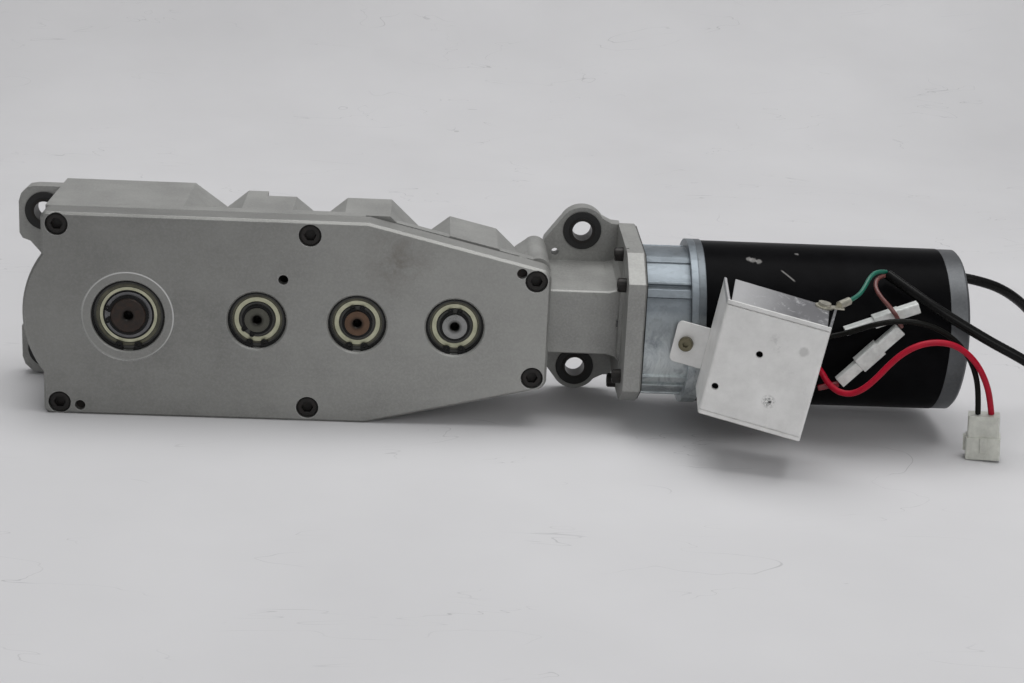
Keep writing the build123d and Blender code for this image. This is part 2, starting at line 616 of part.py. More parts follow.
with BuildPart() as input_bearings:
    for low, high in INPUT_BEARINGS:
        cross_rings([(low, high, INPUT_BEARING_RADIUS, INPUT_RADIUS + 0.05)])
finish(input_bearings, "input_bearings")


# ---------------------------------------------------------------- shafts and their gears
def shaft_piece(x, bands, groove_radius, shaft):
    """A ground shaft with a circlip groove, a chamfered end and a centre drilling."""
    shaft_rings(x, bands)
    ring(front_plane(1.9, x), shaft + 2, groove_radius, -1.2, Mode.SUBTRACT)
    ring(front_plane(0, x), shaft * 0.12 + 1.1, 0, -9.0, Mode.SUBTRACT)
    countersink(front_plane(1.2, x), shaft * 0.12 + 1.7, 0.6)


def front_inner_race(x, shaft, outer, width):
    band = shaft + (outer - shaft) * 0.32
    shaft_rings(x, [(BEARING_FACE, BEARING_FACE + width, band, shaft + FIT)])


def shaft_circlip(x, shaft, gap_angle):
    spaced_circlip(front_plane(1.95, x), shaft + 1.3, shaft - 0.45, gap_angle, 1.2, False, 1.0)


def spur(x, stage, part, front, back, turn, bore=0.0):
    """A spur gear of a stage on the shaft at x between two depths."""
    section = gear_section(front_plane(front, x), stage[part], stage["module"], turn)
    extrude(section, amount=front - back)
    if bore:
        ring(front_plane(front - 1, x), bore, 0, front - back - 2, Mode.SUBTRACT)


def lightening(x, front, back, web, outer, inner):
    """Shallow recesses in both faces of a wheel, between its rim and its hub."""
    for start, depth in ((front, web), (back, -web)):
        ring(front_plane(start, x), outer, inner, -depth, Mode.SUBTRACT)


OUTPUT_FACE = (31.5, 43.0)
SPINDLE, SPINDLE_END = (74.2, 86.2), 98.2
SPINDLE_RADIUS = 9.5
STAGE_B_FACE = (23.0, 30.0)
STAGE_A_FACE = (14.9, 21.7)

with BuildPart() as output_shaft:
    shaft_piece(OUTPUT, [(1.2, 31.0, 8.5, 0), (31.0, 44.0, 11.0, 0), (44.0, 57.6, 13.0, 0),
                         (57.6, SPINDLE[0], 10.0, 0), (*SPINDLE, SPINDLE_RADIUS, 0),
                         (SPINDLE[1], SPINDLE_END, SPINDLE_RADIUS - 0.2, 0)], 7.7, 8.5)
    with BuildSketch(front_plane(SPINDLE[1])) as spindle_flats:
        Circle(12)
        Rectangle(14.6, 14.6, mode=Mode.SUBTRACT)
    extrude(spindle_flats.sketch, amount=-30, mode=Mode.SUBTRACT)
    ring(front_plane(SPINDLE_END + 1), 4.2, 0, 22.0, Mode.SUBTRACT)
    chamfer(output_shaft.faces().sort_by(Axis.Y)[0].outer_wire().edges(), length=0.5)
finish(output_shaft, "output_shaft")


with BuildPart() as output_gear:
    spur(OUTPUT, STAGE_C, "gear", *OUTPUT_FACE, 0.0, bore=11.0 + FIT)
    lightening(OUTPUT, *OUTPUT_FACE, 2.5, 34.0, 18.0)
finish(output_gear, "output_gear")

with BuildPart() as second_shaft:
    shaft_piece(SECOND, [(1.2, 22.5, 6.0, 0), (22.5, 30.5, 8.0, 0), (30.5, 31.5, 10.0, 0),
                         (43.0, 45.6, 9.0, 0), (43.0, 54.0, 6.0, 0)], 5.4, 6.0)
    spur(SECOND, STAGE_C, "pinion", *OUTPUT_FACE, 0.0)
finish(second_shaft, "second_shaft")

with BuildPart() as second_gear:
    spur(SECOND, STAGE_B, "gear", *STAGE_B_FACE, 0.0, bore=8.0 + FIT)
    lightening(SECOND, *STAGE_B_FACE, 1.8, 31.0, 14.0)
finish(second_gear, "second_gear")

with BuildPart() as third_shaft:
    shaft_piece(THIRD, [(1.2, 14.5, 6.0, 0), (14.5, 22.2, 7.0, 0), (22.2, 23.0, 9.5, 0),
                        (30.0, 42.6, 8.0, 0), (42.6, 51.0, 6.0, 0)], 5.4, 6.0)
    spur(THIRD, STAGE_B, "pinion", *STAGE_B_FACE, 180 / STAGE_B["pinion"])
finish(third_shaft, "third_shaft")

with BuildPart() as third_gear:
    spur(THIRD, STAGE_A, "gear", *STAGE_A_FACE, 0.0, bore=7.0 + FIT)
    lightening(THIRD, *STAGE_A_FACE, 1.8, 31.0, 13.0)
finish(third_gear, "third_gear")

with BuildPart() as bevel_shaft:
    shaft_piece(BEVEL, [(1.2, 14.9, 6.0, 0), (21.7, 45.6, 6.0, 0), (45.6, 54.0, 6.0, 0)], 5.4, 6.0)
    spur(BEVEL, STAGE_A, "pinion", *STAGE_A_FACE, 180 / STAGE_A["pinion"])
finish(bevel_shaft, "bevel_shaft")


def revolved_about(plane, axis, points):
    """A solid of revolution from points given as radius and distance along the axis."""
    with BuildSketch(plane) as half:
        with BuildLine():
            Polyline(*points, close=True)
        make_face()
    revolve(half.sketch, axis=axis)


APEX = at(BEVEL, MOTOR_DEPTH, 0)

with BuildPart() as bevel_gear_wheel:
    teeth, outline, lean = bevel_gear(APEX, (0, 1, 0), (1, 0, 0), BEVEL_TEETH[1], BEVEL_TEETH[0], 0.0)
    (large, large_at), (small, small_at) = outline
    bore = 6.0 + FIT
    revolved_about(Plane(origin=APEX, x_dir=(1, 0, 0), z_dir=(0, 0, -1)), Axis(APEX, (0, 1, 0)),
                   [(bore, -small_at), (small, -small_at), (large, -large_at), (large - 2, -large_at - 2.5),
                    (11.0, -large_at - 2.5), (11.0, -large_at - 3.8), (bore, -large_at - 3.8)])
    add(teeth)
finish(bevel_gear_wheel, "bevel_gear")

with BuildPart() as input_shaft:
    teeth, outline, lean = bevel_gear(APEX, (1, 0, 0), (0, 1, 0), BEVEL_TEETH[0], BEVEL_TEETH[1], 12.0)
    (large, large_at), (small, small_at) = outline
    revolved_about(Plane(origin=APEX, x_dir=(0, 0, 1), z_dir=(0, 1, 0)), Axis(APEX, (1, 0, 0)),
                   [(0.01, small_at), (small, small_at), (large, large_at), (large, large_at + 0.8),
                    (0.01, large_at + 0.8)])
    add(teeth)
    cross_rings([(BEVEL + large_at, 183.9, 7.0, 0), (183.5, 252.0, INPUT_RADIUS, 0)])
finish(input_shaft, "input_shaft")

for name, x, circlip_angle, (outer, shaft, width) in (
        ("output", OUTPUT, 180, BEARINGS[0]), ("second", SECOND, 235, BEARINGS[1]),
        ("third", THIRD, 90, BEARINGS[2]), ("bevel", BEVEL, 90, BEARINGS[3])):
    with BuildPart() as race:
        front_inner_race(x, shaft, outer, width)
    finish(race, f"{name}_inner_race")
    with BuildPart() as circlip:
        shaft_circlip(x, shaft, circlip_angle)
    finish(circlip, f"{name}_circlip")


yaw, roll = math.radians(BOX_YAW), math.radians(BOX_ROLL)
BOX_RIGHT = Vector(math.cos(yaw) * math.cos(roll), -math.sin(yaw) * math.cos(roll), -math.sin(roll))
BOX_UP = Vector(math.sin(roll) * math.cos(yaw), -math.sin(roll) * math.sin(yaw), math.cos(roll))
BOX_BACK = Vector(math.sin(yaw), math.cos(yaw), 0)
WIDTH, HEIGHT, DEPTH = BOX_SIZE
TAB_BACK = DEPTH - 2.6


def box_plane(right, up, back):
    """A plane parallel to the terminal box's front, from its top left corner."""
    corner = Vector(*at(*BOX_CORNER))
    origin = corner + BOX_RIGHT * right + BOX_UP * up + BOX_BACK * back
    return Plane(origin=origin, x_dir=BOX_RIGHT, z_dir=BOX_BACK * -1)


# ---------------------------------------------------------------- planetary reducer
with BuildPart() as reducer_housing:
    low, high = REDUCER_X
    with BuildSketch(cross_plane(low)) as casting:
        Circle(REDUCER_RADIUS)
        for angle, width, reach in REDUCER_RIBS:
            for turn in (angle, -angle, 180 - angle, 180 + angle):
                with Locations(Rotation(0, 0, turn)):
                    with Locations((reach / 2, 0)):
                        Rectangle(reach, width)
        for angle, width, deep in REDUCER_GROOVES:
            for turn in (angle, -angle, 180 - angle, 180 + angle):
                with Locations(Rotation(0, 0, turn)):
                    with Locations((REDUCER_RADIUS + 1, 0)):
                        Rectangle(2 * deep, width, mode=Mode.SUBTRACT)
    extrude(casting.sketch, amount=high - low)
    cross_rings([(high, LEDGE_START, LEDGE_RADIUS, 0)])
    ring(box_plane(*TAB_SCREW, TAB_BACK), 4.0, 0, -6.0)
    cross_rings([(low - 1, PLANET_FACE[0], 26.5, 0),
                 (PLANET_FACE[0] - 1.5, LEDGE_START, RING_GEAR_RADIUS + FIT, 0)], Mode.SUBTRACT)
    for depth, z in FLANGE_SCREWS:
        ring(Plane(cross_plane(low).location * Location((depth, z, 0))), 2.0, 0, 8.4, Mode.SUBTRACT)
    ring(box_plane(*TAB_SCREW, TAB_BACK), 2.1, 0, -8.0, Mode.SUBTRACT)
finish(reducer_housing, "reducer_housing")

with BuildPart() as motor_adapter:
    low = LEDGE_START
    cross_rings([(low, LEDGE_END, LEDGE_RADIUS, 0), (low - 4, low, RING_GEAR_RADIUS - 0.1, 0)])
    cross_rings([(low - 5, LEDGE_END, 11 + FIT, 0)], Mode.SUBTRACT)
finish(motor_adapter, "motor_adapter")

with BuildPart() as ring_gear:
    low, high = PLANET_FACE
    cross_rings([(low - 1.5, high + 2, RING_GEAR_RADIUS, 0)])
    teeth_space = gear_section(cross_plane(low - 2), RING_TEETH, 1.0, 180 / RING_TEETH, -FLANK_GAP,
                               tip=1.25, root=0.85)
    extrude(teeth_space, amount=high - low + 6, mode=Mode.SUBTRACT)
finish(ring_gear, "ring_gear")

PLANET_ORBIT = (SUN_TEETH + PLANET_TEETH) / 2
PLANET_ANGLES = (90, 210, 330)
PIN_RADIUS = 2.5
PIN_PLAY = 0.04


def planet_centre(angle):
    """Where a planet sits in the cross plane."""
    return (PLANET_ORBIT * math.cos(math.radians(angle)), PLANET_ORBIT * math.sin(math.radians(angle)))


def planet_plane(x, angle):
    return Plane(cross_plane(x).location * Location(planet_centre(angle) + (0,)))


with BuildPart() as planet_carrier:
    cross_rings([(248.2, 252.6, 25.5, INPUT_RADIUS + FIT)])
    for angle in PLANET_ANGLES:
        ring(planet_plane(248.2, angle), PIN_RADIUS, 0, 17.0)
        ring(planet_plane(265.2, angle), PIN_RADIUS + 1.2, 0, 0.9)
finish(planet_carrier, "planet_carrier")

for number, angle in enumerate(PLANET_ANGLES, start=1):
    with BuildPart() as planet:
        tooth_turn = angle + 180
        section = gear_section(planet_plane(PLANET_FACE[0], angle), PLANET_TEETH, 1.0, tooth_turn)
        extrude(section, amount=PLANET_FACE[1] - PLANET_FACE[0])
        ring(planet_plane(PLANET_FACE[0] - 1, angle), PIN_RADIUS + PIN_PLAY, 0, 14, Mode.SUBTRACT)
    finish(planet, f"planet_gear_{number}")


# ---------------------------------------------------------------- motor
with BuildPart() as motor_can:
    low, high = CAN_X
    cross_rings([(low, high, MOTOR_RADIUS, MOTOR_RADIUS - CAN_WALL), (low, low + 2.5, MOTOR_RADIUS, 12.0)])
finish(motor_can, "motor_can")

with BuildPart() as end_cap:
    low, high = CAN_X[1], CAP_END
    cross_rings([(low, high, MOTOR_RADIUS - 0.2, 0)])
    chamfer(end_cap.faces().sort_by(Axis.X)[-1].outer_wire().edges(), length=1.2)
    cross_rings([(low - 5, low, MOTOR_RADIUS - CAN_WALL - 0.1, 31.0), (low - 7, low, 14.5, 0)])
    cross_rings([(low - 8, low + 0.5, 11 + FIT, 0)], Mode.SUBTRACT)
    for angle in (35, 215):
        turn = math.radians(angle)
        spot = Plane(cross_plane(high).location * Location((30 * math.cos(turn), 30 * math.sin(turn), 0)))
        ring(spot, 4.2, 0, -4.0, Mode.SUBTRACT)
    ring(Plane(cross_plane(low).location * Location((0, GLAND_Z, 0))), 3.4, 0, 20, Mode.SUBTRACT)
finish(end_cap, "motor_end_cap")

with BuildPart() as motor_bearings:
    for low in (269.2, 387.9):
        cross_rings([(low, low + 7.0, 11.0, INPUT_RADIUS + 0.05)])
finish(motor_bearings, "motor_bearings")

with BuildPart() as motor_magnets:
    cross_rings([(292, 362, MOTOR_RADIUS - CAN_WALL - 0.05, 31.0)])
    with BuildSketch(cross_plane(290)) as pole_gaps:
        Rectangle(20, 90)
    extrude(pole_gaps.sketch, amount=80, mode=Mode.SUBTRACT)
finish(motor_magnets, "motor_magnets")

with BuildPart() as rotor_shaft:
    sun = gear_section(cross_plane(PLANET_FACE[0]), SUN_TEETH, 1.0, 0.0)
    extrude(sun, amount=PLANET_FACE[1] - PLANET_FACE[0])
    cross_rings([(PLANET_FACE[1], 267, 7.4, 0), (267, 395.0, INPUT_RADIUS, 0)])
finish(rotor_shaft, "rotor_shaft")

ROTOR_SLOTS = 12
with BuildPart() as rotor_stack:
    cross_rings([(298, 356, 29.8, INPUT_RADIUS + FIT)])
    with BuildSketch(cross_plane(297)) as slots:
        with PolarLocations(0, ROTOR_SLOTS):
            with Locations((22, 0)):
                Circle(3.4)
            with Locations((27, 0)):
                Rectangle(8, 2.2)
    extrude(slots.sketch, amount=62, mode=Mode.SUBTRACT)
finish(rotor_stack, "rotor_stack")

with BuildPart() as rotor_windings:
    for low, high in ((286, 297.9), (356.1, 364)):
        cross_rings([(low, high, 26.5, 10.0)])
    chamfer(rotor_windings.edges().filter_by(GeomType.CIRCLE).sort_by(SortBy.RADIUS)[-4:], length=2.5)
finish(rotor_windings, "rotor_windings")

BARS = 24
with BuildPart() as commutator:
    cross_rings([(366, 382, 12.0, INPUT_RADIUS + FIT)])
    with BuildSketch(cross_plane(365)) as bar_gaps:
        with PolarLocations(12.0, BARS):
            Rectangle(2.4, 0.5)
    extrude(bar_gaps.sketch, amount=20, mode=Mode.SUBTRACT)
finish(commutator, "commutator")

with BuildPart() as brush_holder:
    cross_rings([(367, 384, 36.5, 33.0), (380.5, 384, 36.5, 16.0)])
    for sign in (1, -1):
        guide = Plane(cross_plane(367.5).location * Location((sign * 24.5, 0, 0)))
        with BuildSketch(guide) as brush_box:
            Rectangle(19, 10)
        extrude(brush_box.sketch, amount=14)
        with BuildSketch(guide) as brush_way:
            Rectangle(16, 6.3)
            with Locations((-sign * 5, 0)):
                Rectangle(16, 6.3)
        extrude(brush_way.sketch, amount=11.5, mode=Mode.SUBTRACT)
finish(brush_holder, "brush_holder")

with BuildPart() as carbon_brushes:
    for sign in (1, -1):
        with BuildSketch(Plane(cross_plane(369.0).location * Location((sign * 18.4, 0, 0)))) as brush:
            Rectangle(12.0, 6.0)
        extrude(brush.sketch, amount=9.5)
    cross_rings([(366, 384, 12.35, 0)], Mode.SUBTRACT)
finish(carbon_brushes, "carbon_brushes")

with BuildPart() as cable_gland:
    with BuildSketch(Plane(cross_plane(CAP_END).location * Location((0, GLAND_Z, 0)))) as nut:
        RegularPolygon(5.4, 6)
    extrude(nut.sketch, amount=1.6)
    ring(Plane(cross_plane(CAP_END + 1.6).location * Location((0, GLAND_Z, 0))), 4.2, 0, 1.4)
    chamfer(cable_gland.faces().sort_by(Axis.X)[-1].outer_wire().edges(), length=0.6)
finish(cable_gland, "cable_gland")


# ---------------------------------------------------------------- terminal box
def box_level(up):
    """A plane across the terminal box at a height: local x runs right, local y to the back."""
    origin = Vector(*at(*BOX_CORNER)) + BOX_UP * up
    return Plane(origin=origin, x_dir=BOX_RIGHT, z_dir=BOX_UP)


BOX_WALLS = (  # plan of the bent sheet: left wall splayed out, front, right wall
    (-BOX_SPLAY, TAB_BACK), (0, 0), (WIDTH, 0), (WIDTH, DEPTH - 3.0), (WIDTH - SHEET, DEPTH - 3.0),
    (WIDTH - SHEET, SHEET), (SHEET * 0.85, SHEET), (SHEET - BOX_SPLAY, TAB_BACK),
)
BOX_FLAP = ((1.7, 0.5), (-1.2, DEPTH - 0.6), (44.6, DEPTH - 3.6), (46.5, 0.5))

with BuildPart() as terminal_box:
    with BuildSketch(box_level(0)) as plan:
        with BuildLine():
            Polyline(*BOX_WALLS, close=True)
        make_face()
        fillet([corner for corner in plan.vertices() if corner.Y < SHEET / 2], radius=1.6)
    extrude(plan.sketch, amount=-HEIGHT)
    for up in (0, SHEET - HEIGHT):
        with BuildSketch(box_level(up)) as flap:
            with BuildLine():
                Polyline(*BOX_FLAP, close=True)
            make_face()
        extrude(flap.sketch, amount=-SHEET)
    for up, side in ((-BEND, 1), (BEND - HEIGHT, -1)):
        end = Plane(origin=box_plane(-5, up, BEND).origin, x_dir=BOX_BACK * -1, z_dir=BOX_RIGHT)
        with BuildSketch(end) as bend:
            with Locations((BEND / 2, side * BEND / 2)):
                Rectangle(BEND, BEND)
            Circle(BEND, mode=Mode.SUBTRACT)
        extrude(bend.sketch, amount=WIDTH + 10, mode=Mode.SUBTRACT)
    with BuildSketch(box_plane(0, 0, TAB_BACK)) as tab:
        with Locations((TAB_CENTRE[0], TAB_CENTRE[1])):
            RectangleRounded(TAB_SIZE[0], TAB_SIZE[1], 2.5)
        with Locations((-7.0, TAB_CENTRE[1])):
            Rectangle(4.4, TAB_SIZE[1])
    extrude(tab.sketch, amount=SHEET)
    for right, up in BOX_HOLES:
        ring(box_plane(right, up, -1), 1.6, 0, -3, Mode.SUBTRACT)
    ring(box_plane(*TAB_SCREW, DEPTH - 5), 2.2, 0, -10, Mode.SUBTRACT)
finish(terminal_box, "terminal_box")

with BuildPart() as motor_screws:
    head_at = Plane(cross_plane(CAP_END).location * Location((0, 0, -1.0)))
    cap_screws(head_at, [(30 * math.cos(math.radians(a)), 30 * math.sin(math.radians(a)))
                         for a in (35, 215)], head=4.0, socket=2.0, shank=2.0, head_height=2.9,
               length=2.95)
    screw_head = box_plane(*TAB_SCREW, TAB_BACK - SHEET - 2.6)
    cap_screws(screw_head, [(0, 0)], head=3.5, socket=1.5, shank=2.0, head_height=2.6,
               length=2.6 + SHEET + 7.0)
finish(motor_screws, "motor_screws")


# ---------------------------------------------------------------- wiring
def tilted_block(centre, direction, spans):
    """Boxes in a row along a direction in the X-Z plane: each from, to, height and depth."""
    along = Vector(math.cos(math.radians(direction)), 0, math.sin(math.radians(direction)))
    for low, high, height, depth in spans:
        origin = Vector(*at(*centre)) + along * low
        with BuildSketch(Plane(origin=origin, x_dir=(0, 1, 0), z_dir=along)) as block:
            RectangleRounded(depth, height, 0.8)
        extrude(block.sketch, amount=high - low)


with BuildPart() as quick_connects:
    for centre, direction, spans in QUICK_CONNECTS:
        tilted_block(centre, direction, spans)
finish(quick_connects, "quick_connects")

with BuildPart() as ring_terminal:
    sheet_plane = box_plane(*RING_TERMINAL)
    up_wall = Plane(origin=sheet_plane.origin, x_dir=BOX_RIGHT, z_dir=BOX_UP)
    ring(up_wall, 4.2, 1.8, 0.8)
    with BuildSketch(Plane(up_wall.location * Location((5.2, 3.4, 0)))) as tongue:
        Rectangle(8.0, 3.4, rotation=35)
    extrude(tongue.sketch, amount=0.8)
    start, end = Vector(*at(334.8, -31.6, 26.6)), Vector(*at(*CORDS["green_wire"][1][-1]))
    with BuildSketch(Plane(origin=start, z_dir=end - start)) as barrel:
        Circle(1.9)
    extrude(barrel.sketch, amount=(end - start).length)
    ring(Plane(up_wall.location * Location((0, 0, 0.8))), 3.0, 0, 1.6)
finish(ring_terminal, "ring_terminal")

with BuildPart() as two_pin_connector:
    two_pin = Plane(origin=at(413.5, LEAD_DEPTH + 0.8, -49.1), x_dir=TWO_PIN_RIGHT, z_dir=TWO_PIN_UP)
    for low, high, width, depth in TWO_PIN_BLOCKS:
        with BuildSketch(two_pin.offset(low)) as block:
            RectangleRounded(width, depth, 1.0)
        extrude(block.sketch, amount=high - low)
    with BuildSketch(two_pin.offset(3.6)) as latch:
        with Locations((0.3, -4.9)):
            Rectangle(3.6, 1.2)
        with Locations((-8.4, 0)):
            Rectangle(2.0, 3.0)
    extrude(latch.sketch, amount=7.6)
finish(two_pin_connector, "two_pin_connector")


def cord(name, route, diameter):
    """A round cord along a route, with arcs as large as its runs allow."""
    points = [Vector(*at(*place)) for place in route]
    radii = []
    for before, corner, after in zip(points, points[1:], points[2:]):
        turn = math.radians((corner - before).get_angle(after - corner))
        run = min((corner - before).length, (after - corner).length)
        radii.append(0.45 * run / math.tan(turn / 2))
    with BuildPart() as tube:
        with BuildLine() as path:
            FilletPolyline(*points, radius=radii)
        wire = path.wires()[0]
        with BuildSketch(Plane(origin=wire @ 0, z_dir=wire % 0)):
            Circle(diameter / 2)
        sweep()
    area = math.pi * diameter ** 2 / 4
    print(name, "length", round(wire.length, 1), "volume / section x length",
          round(tube.part.volume / (area * wire.length), 4),
          "radii in diameters", [round(radius / diameter, 1) for radius in radii])
    finish(tube, name)


for cord_name, (cord_diameter, cord_route) in CORDS.items():
    cord(cord_name, cord_route, cord_diameter)
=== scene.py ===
"""The looks of the in-line swing-door gear motor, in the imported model's own frame, in metres."""

import json
import math

import bmesh
import bpy
from mathutils import Matrix, Vector


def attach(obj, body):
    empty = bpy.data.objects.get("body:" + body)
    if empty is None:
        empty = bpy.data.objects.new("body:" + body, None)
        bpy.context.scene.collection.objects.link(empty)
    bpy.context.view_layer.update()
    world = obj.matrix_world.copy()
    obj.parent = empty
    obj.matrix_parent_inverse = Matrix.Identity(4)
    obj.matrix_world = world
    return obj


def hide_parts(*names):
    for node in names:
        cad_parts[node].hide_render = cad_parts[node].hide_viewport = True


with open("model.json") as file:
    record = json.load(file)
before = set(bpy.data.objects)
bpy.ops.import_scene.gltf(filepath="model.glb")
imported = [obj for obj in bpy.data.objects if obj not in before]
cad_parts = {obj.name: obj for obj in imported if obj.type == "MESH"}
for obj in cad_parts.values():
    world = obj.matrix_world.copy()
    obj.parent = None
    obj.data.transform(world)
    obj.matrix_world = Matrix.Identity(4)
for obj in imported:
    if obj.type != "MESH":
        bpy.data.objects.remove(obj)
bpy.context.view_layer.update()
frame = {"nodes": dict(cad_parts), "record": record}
nodes = frame["nodes"]

OUTPUT_X = -0.17245      # output shaft axis
COVER_Y = -0.01640       # front face of the cover
SHAFT_Z = 0.050          # height of every shaft axis
MM = 0.001


def at(x, depth, z):
    """A point in millimetres along X from the output shaft, behind the cover, above the shafts."""
    return Vector((OUTPUT_X + x * MM, COVER_Y + depth * MM, SHAFT_Z + z * MM))


# ---------------------------------------------------------------- camera
SENSOR_WIDTH = 36.0      # millimetres, as the lens


def set_camera(place, pitch, yaw, roll, lens):
    """A level camera turned by yaw and pitch, then rolled about its own axis."""
    level = math.cos(pitch)
    forward = Vector((math.sin(yaw) * level, math.cos(yaw) * level, -math.sin(pitch)))
    level_right = forward.cross(Vector((0, 0, 1))).normalized()
    level_up = level_right.cross(forward)
    right = level_right * math.cos(roll) + level_up * math.sin(roll)
    up = level_up * math.cos(roll) - level_right * math.sin(roll)
    data = bpy.data.cameras.new("camera")
    data.sensor_width = SENSOR_WIDTH
    data.sensor_fit = "HORIZONTAL"
    data.lens = lens
    data.clip_start = 0.01
    camera = bpy.data.objects.new("camera", data)
    camera.matrix_world = Matrix((
        (right.x, up.x, -forward.x, place.x),
        (right.y, up.y, -forward.y, place.y),
        (right.z, up.z, -forward.z, place.z),
        (0, 0, 0, 1)))
    bpy.context.scene.collection.objects.link(camera)
    bpy.context.scene.camera = camera


set_camera(at(137.8, -920.1, 271.5), pitch=math.radians(16.76), yaw=math.radians(2.90),
           roll=math.radians(2.78), lens=69.97)


# ---------------------------------------------------------------- cords
CORDS = {  # diameter, then the route: along X, depth, height over the shaft axes
    "black_lead": (2.7, (
        (298, -12.65, 4), (298.3, -20, 4.1), (303.5, -25.4, 4.8), (311.1, -26.1, 5.6),
        (319.2, -23.6, 6.3), (328, -20.6, 7), (337.3, -20.5, 8.7), (345, -22.6, 11.7),
        (352.8, -25, 15.6), (362, -26, 18.2), (371.5, -26, 18.4), (380.5, -26, 16.6),
        (388.6, -26, 13), (395.8, -26, 7.5), (401.6, -26, 0.3), (405.4, -25.8, -8),
        (407.6, -25.1, -17.4), (408.7, -24, -26.9))),
    "red_lead": (3.0, (
        (298, -12.23, -7), (298.3, -20.3, -6.8), (303.8, -26, -5.6), (311.8, -26.7, -4.0),
        (319.6, -23.9, -2), (326.6, -20.6, -4.2), (331.8, -19.9, -9.4), (335, -22.3, -14.6),
        (339.6, -26, -17.8), (345.4, -28.9, -17.8), (351, -30.4, -14.2), (356.4, -30.6, -8.6),
        (361.6, -30.6, -2), (367.4, -30.6, 4), (374.8, -30.6, 8.4), (382.8, -30.6, 10.1),
        (391, -30.6, 9.2), (398.4, -30.2, 5), (404.6, -29.4, -1.4), (409.2, -28.2, -9),
        (412.8, -26.4, -17.5), (415.2, -24, -26.8))),
    "green_wire": (2.1, (
        (362.6, -2.2, 35.9), (357.6, -5.6, 37.2), (352.8, -11, 35.4), (349.4, -17, 31.8),
        (345.4, -22.8, 28.9), (340.3, -27, 27.6))),
    "brown_wire": (2.1, (
        (362.3, -2.8, 34.4), (357.4, -7, 34.5), (355.3, -12, 31.3), (357.3, -17, 27.6),
        (361.6, -20.8, 23.6), (365.6, -21.6, 18.8), (368.4, -19.4, 13.6))),
    "jacketed_cable": (5.0, (
        (407.3, 27.3, 27), (413.6, 27.4, 26.2), (427.5, 29.5, 22.2), (440.5, 35.5, 14.2),
        (451.5, 43, 4.2), (461, 49.5, -7.5), (469, 53, -20), (476.3, 51.3, -32),
        (482.3, 43.5, -41.8), (486.5, 31.4, -46.8),
        (489, 19.5, -47.4), (487.5, 5.5, -46.9), (481.8, -7, -43), (472.5, -16.2, -35),
        (460.8, -21.8, -25), (448.5, -24.6, -14.5), (437.5, -25, -4.8), (425.5, -23.8, 1.9),
        (413, -21.8, 7.6), (399.5, -19.2, 14.6), (387, -15.9, 21.2), (375.5, -10, 27.8),
        (363.2, -2.3, 34.9))),
}


def wire(name):
    """A round cord on a smooth curve through its route's control points."""
    diameter, route = CORDS[name]
    curve = bpy.data.curves.new(name, "CURVE")
    curve.dimensions = "3D"
    curve.resolution_u = 10
    curve.bevel_depth = 1.0      # times each point's radius, which also bounds the curve's box
    curve.bevel_resolution = 6
    curve.use_fill_caps = True
    spline = curve.splines.new("NURBS")
    spline.points.add(len(route) - 1)
    for point, place in zip(spline.points, route):
        point.co = at(*place).to_4d()
        point.radius = diameter / 2 * MM
    spline.order_u = 3
    spline.use_endpoint_u = True
    piece = bpy.data.objects.new(name + "_line", curve)
    bpy.context.scene.collection.objects.link(piece)
    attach(piece, "housing")
    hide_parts(name)
    return piece


cable = wire("jacketed_cable")
green = wire("green_wire")
brown = wire("brown_wire")
black = wire("black_lead")
red = wire("red_lead")


# ---------------------------------------------------------------- materials
BEVEL_SAMPLES = 4
MIX_FACTOR, MIX_FIRST, MIX_SECOND, MIX_RESULT = 0, 6, 7, 2       # a colour Mix node's sockets


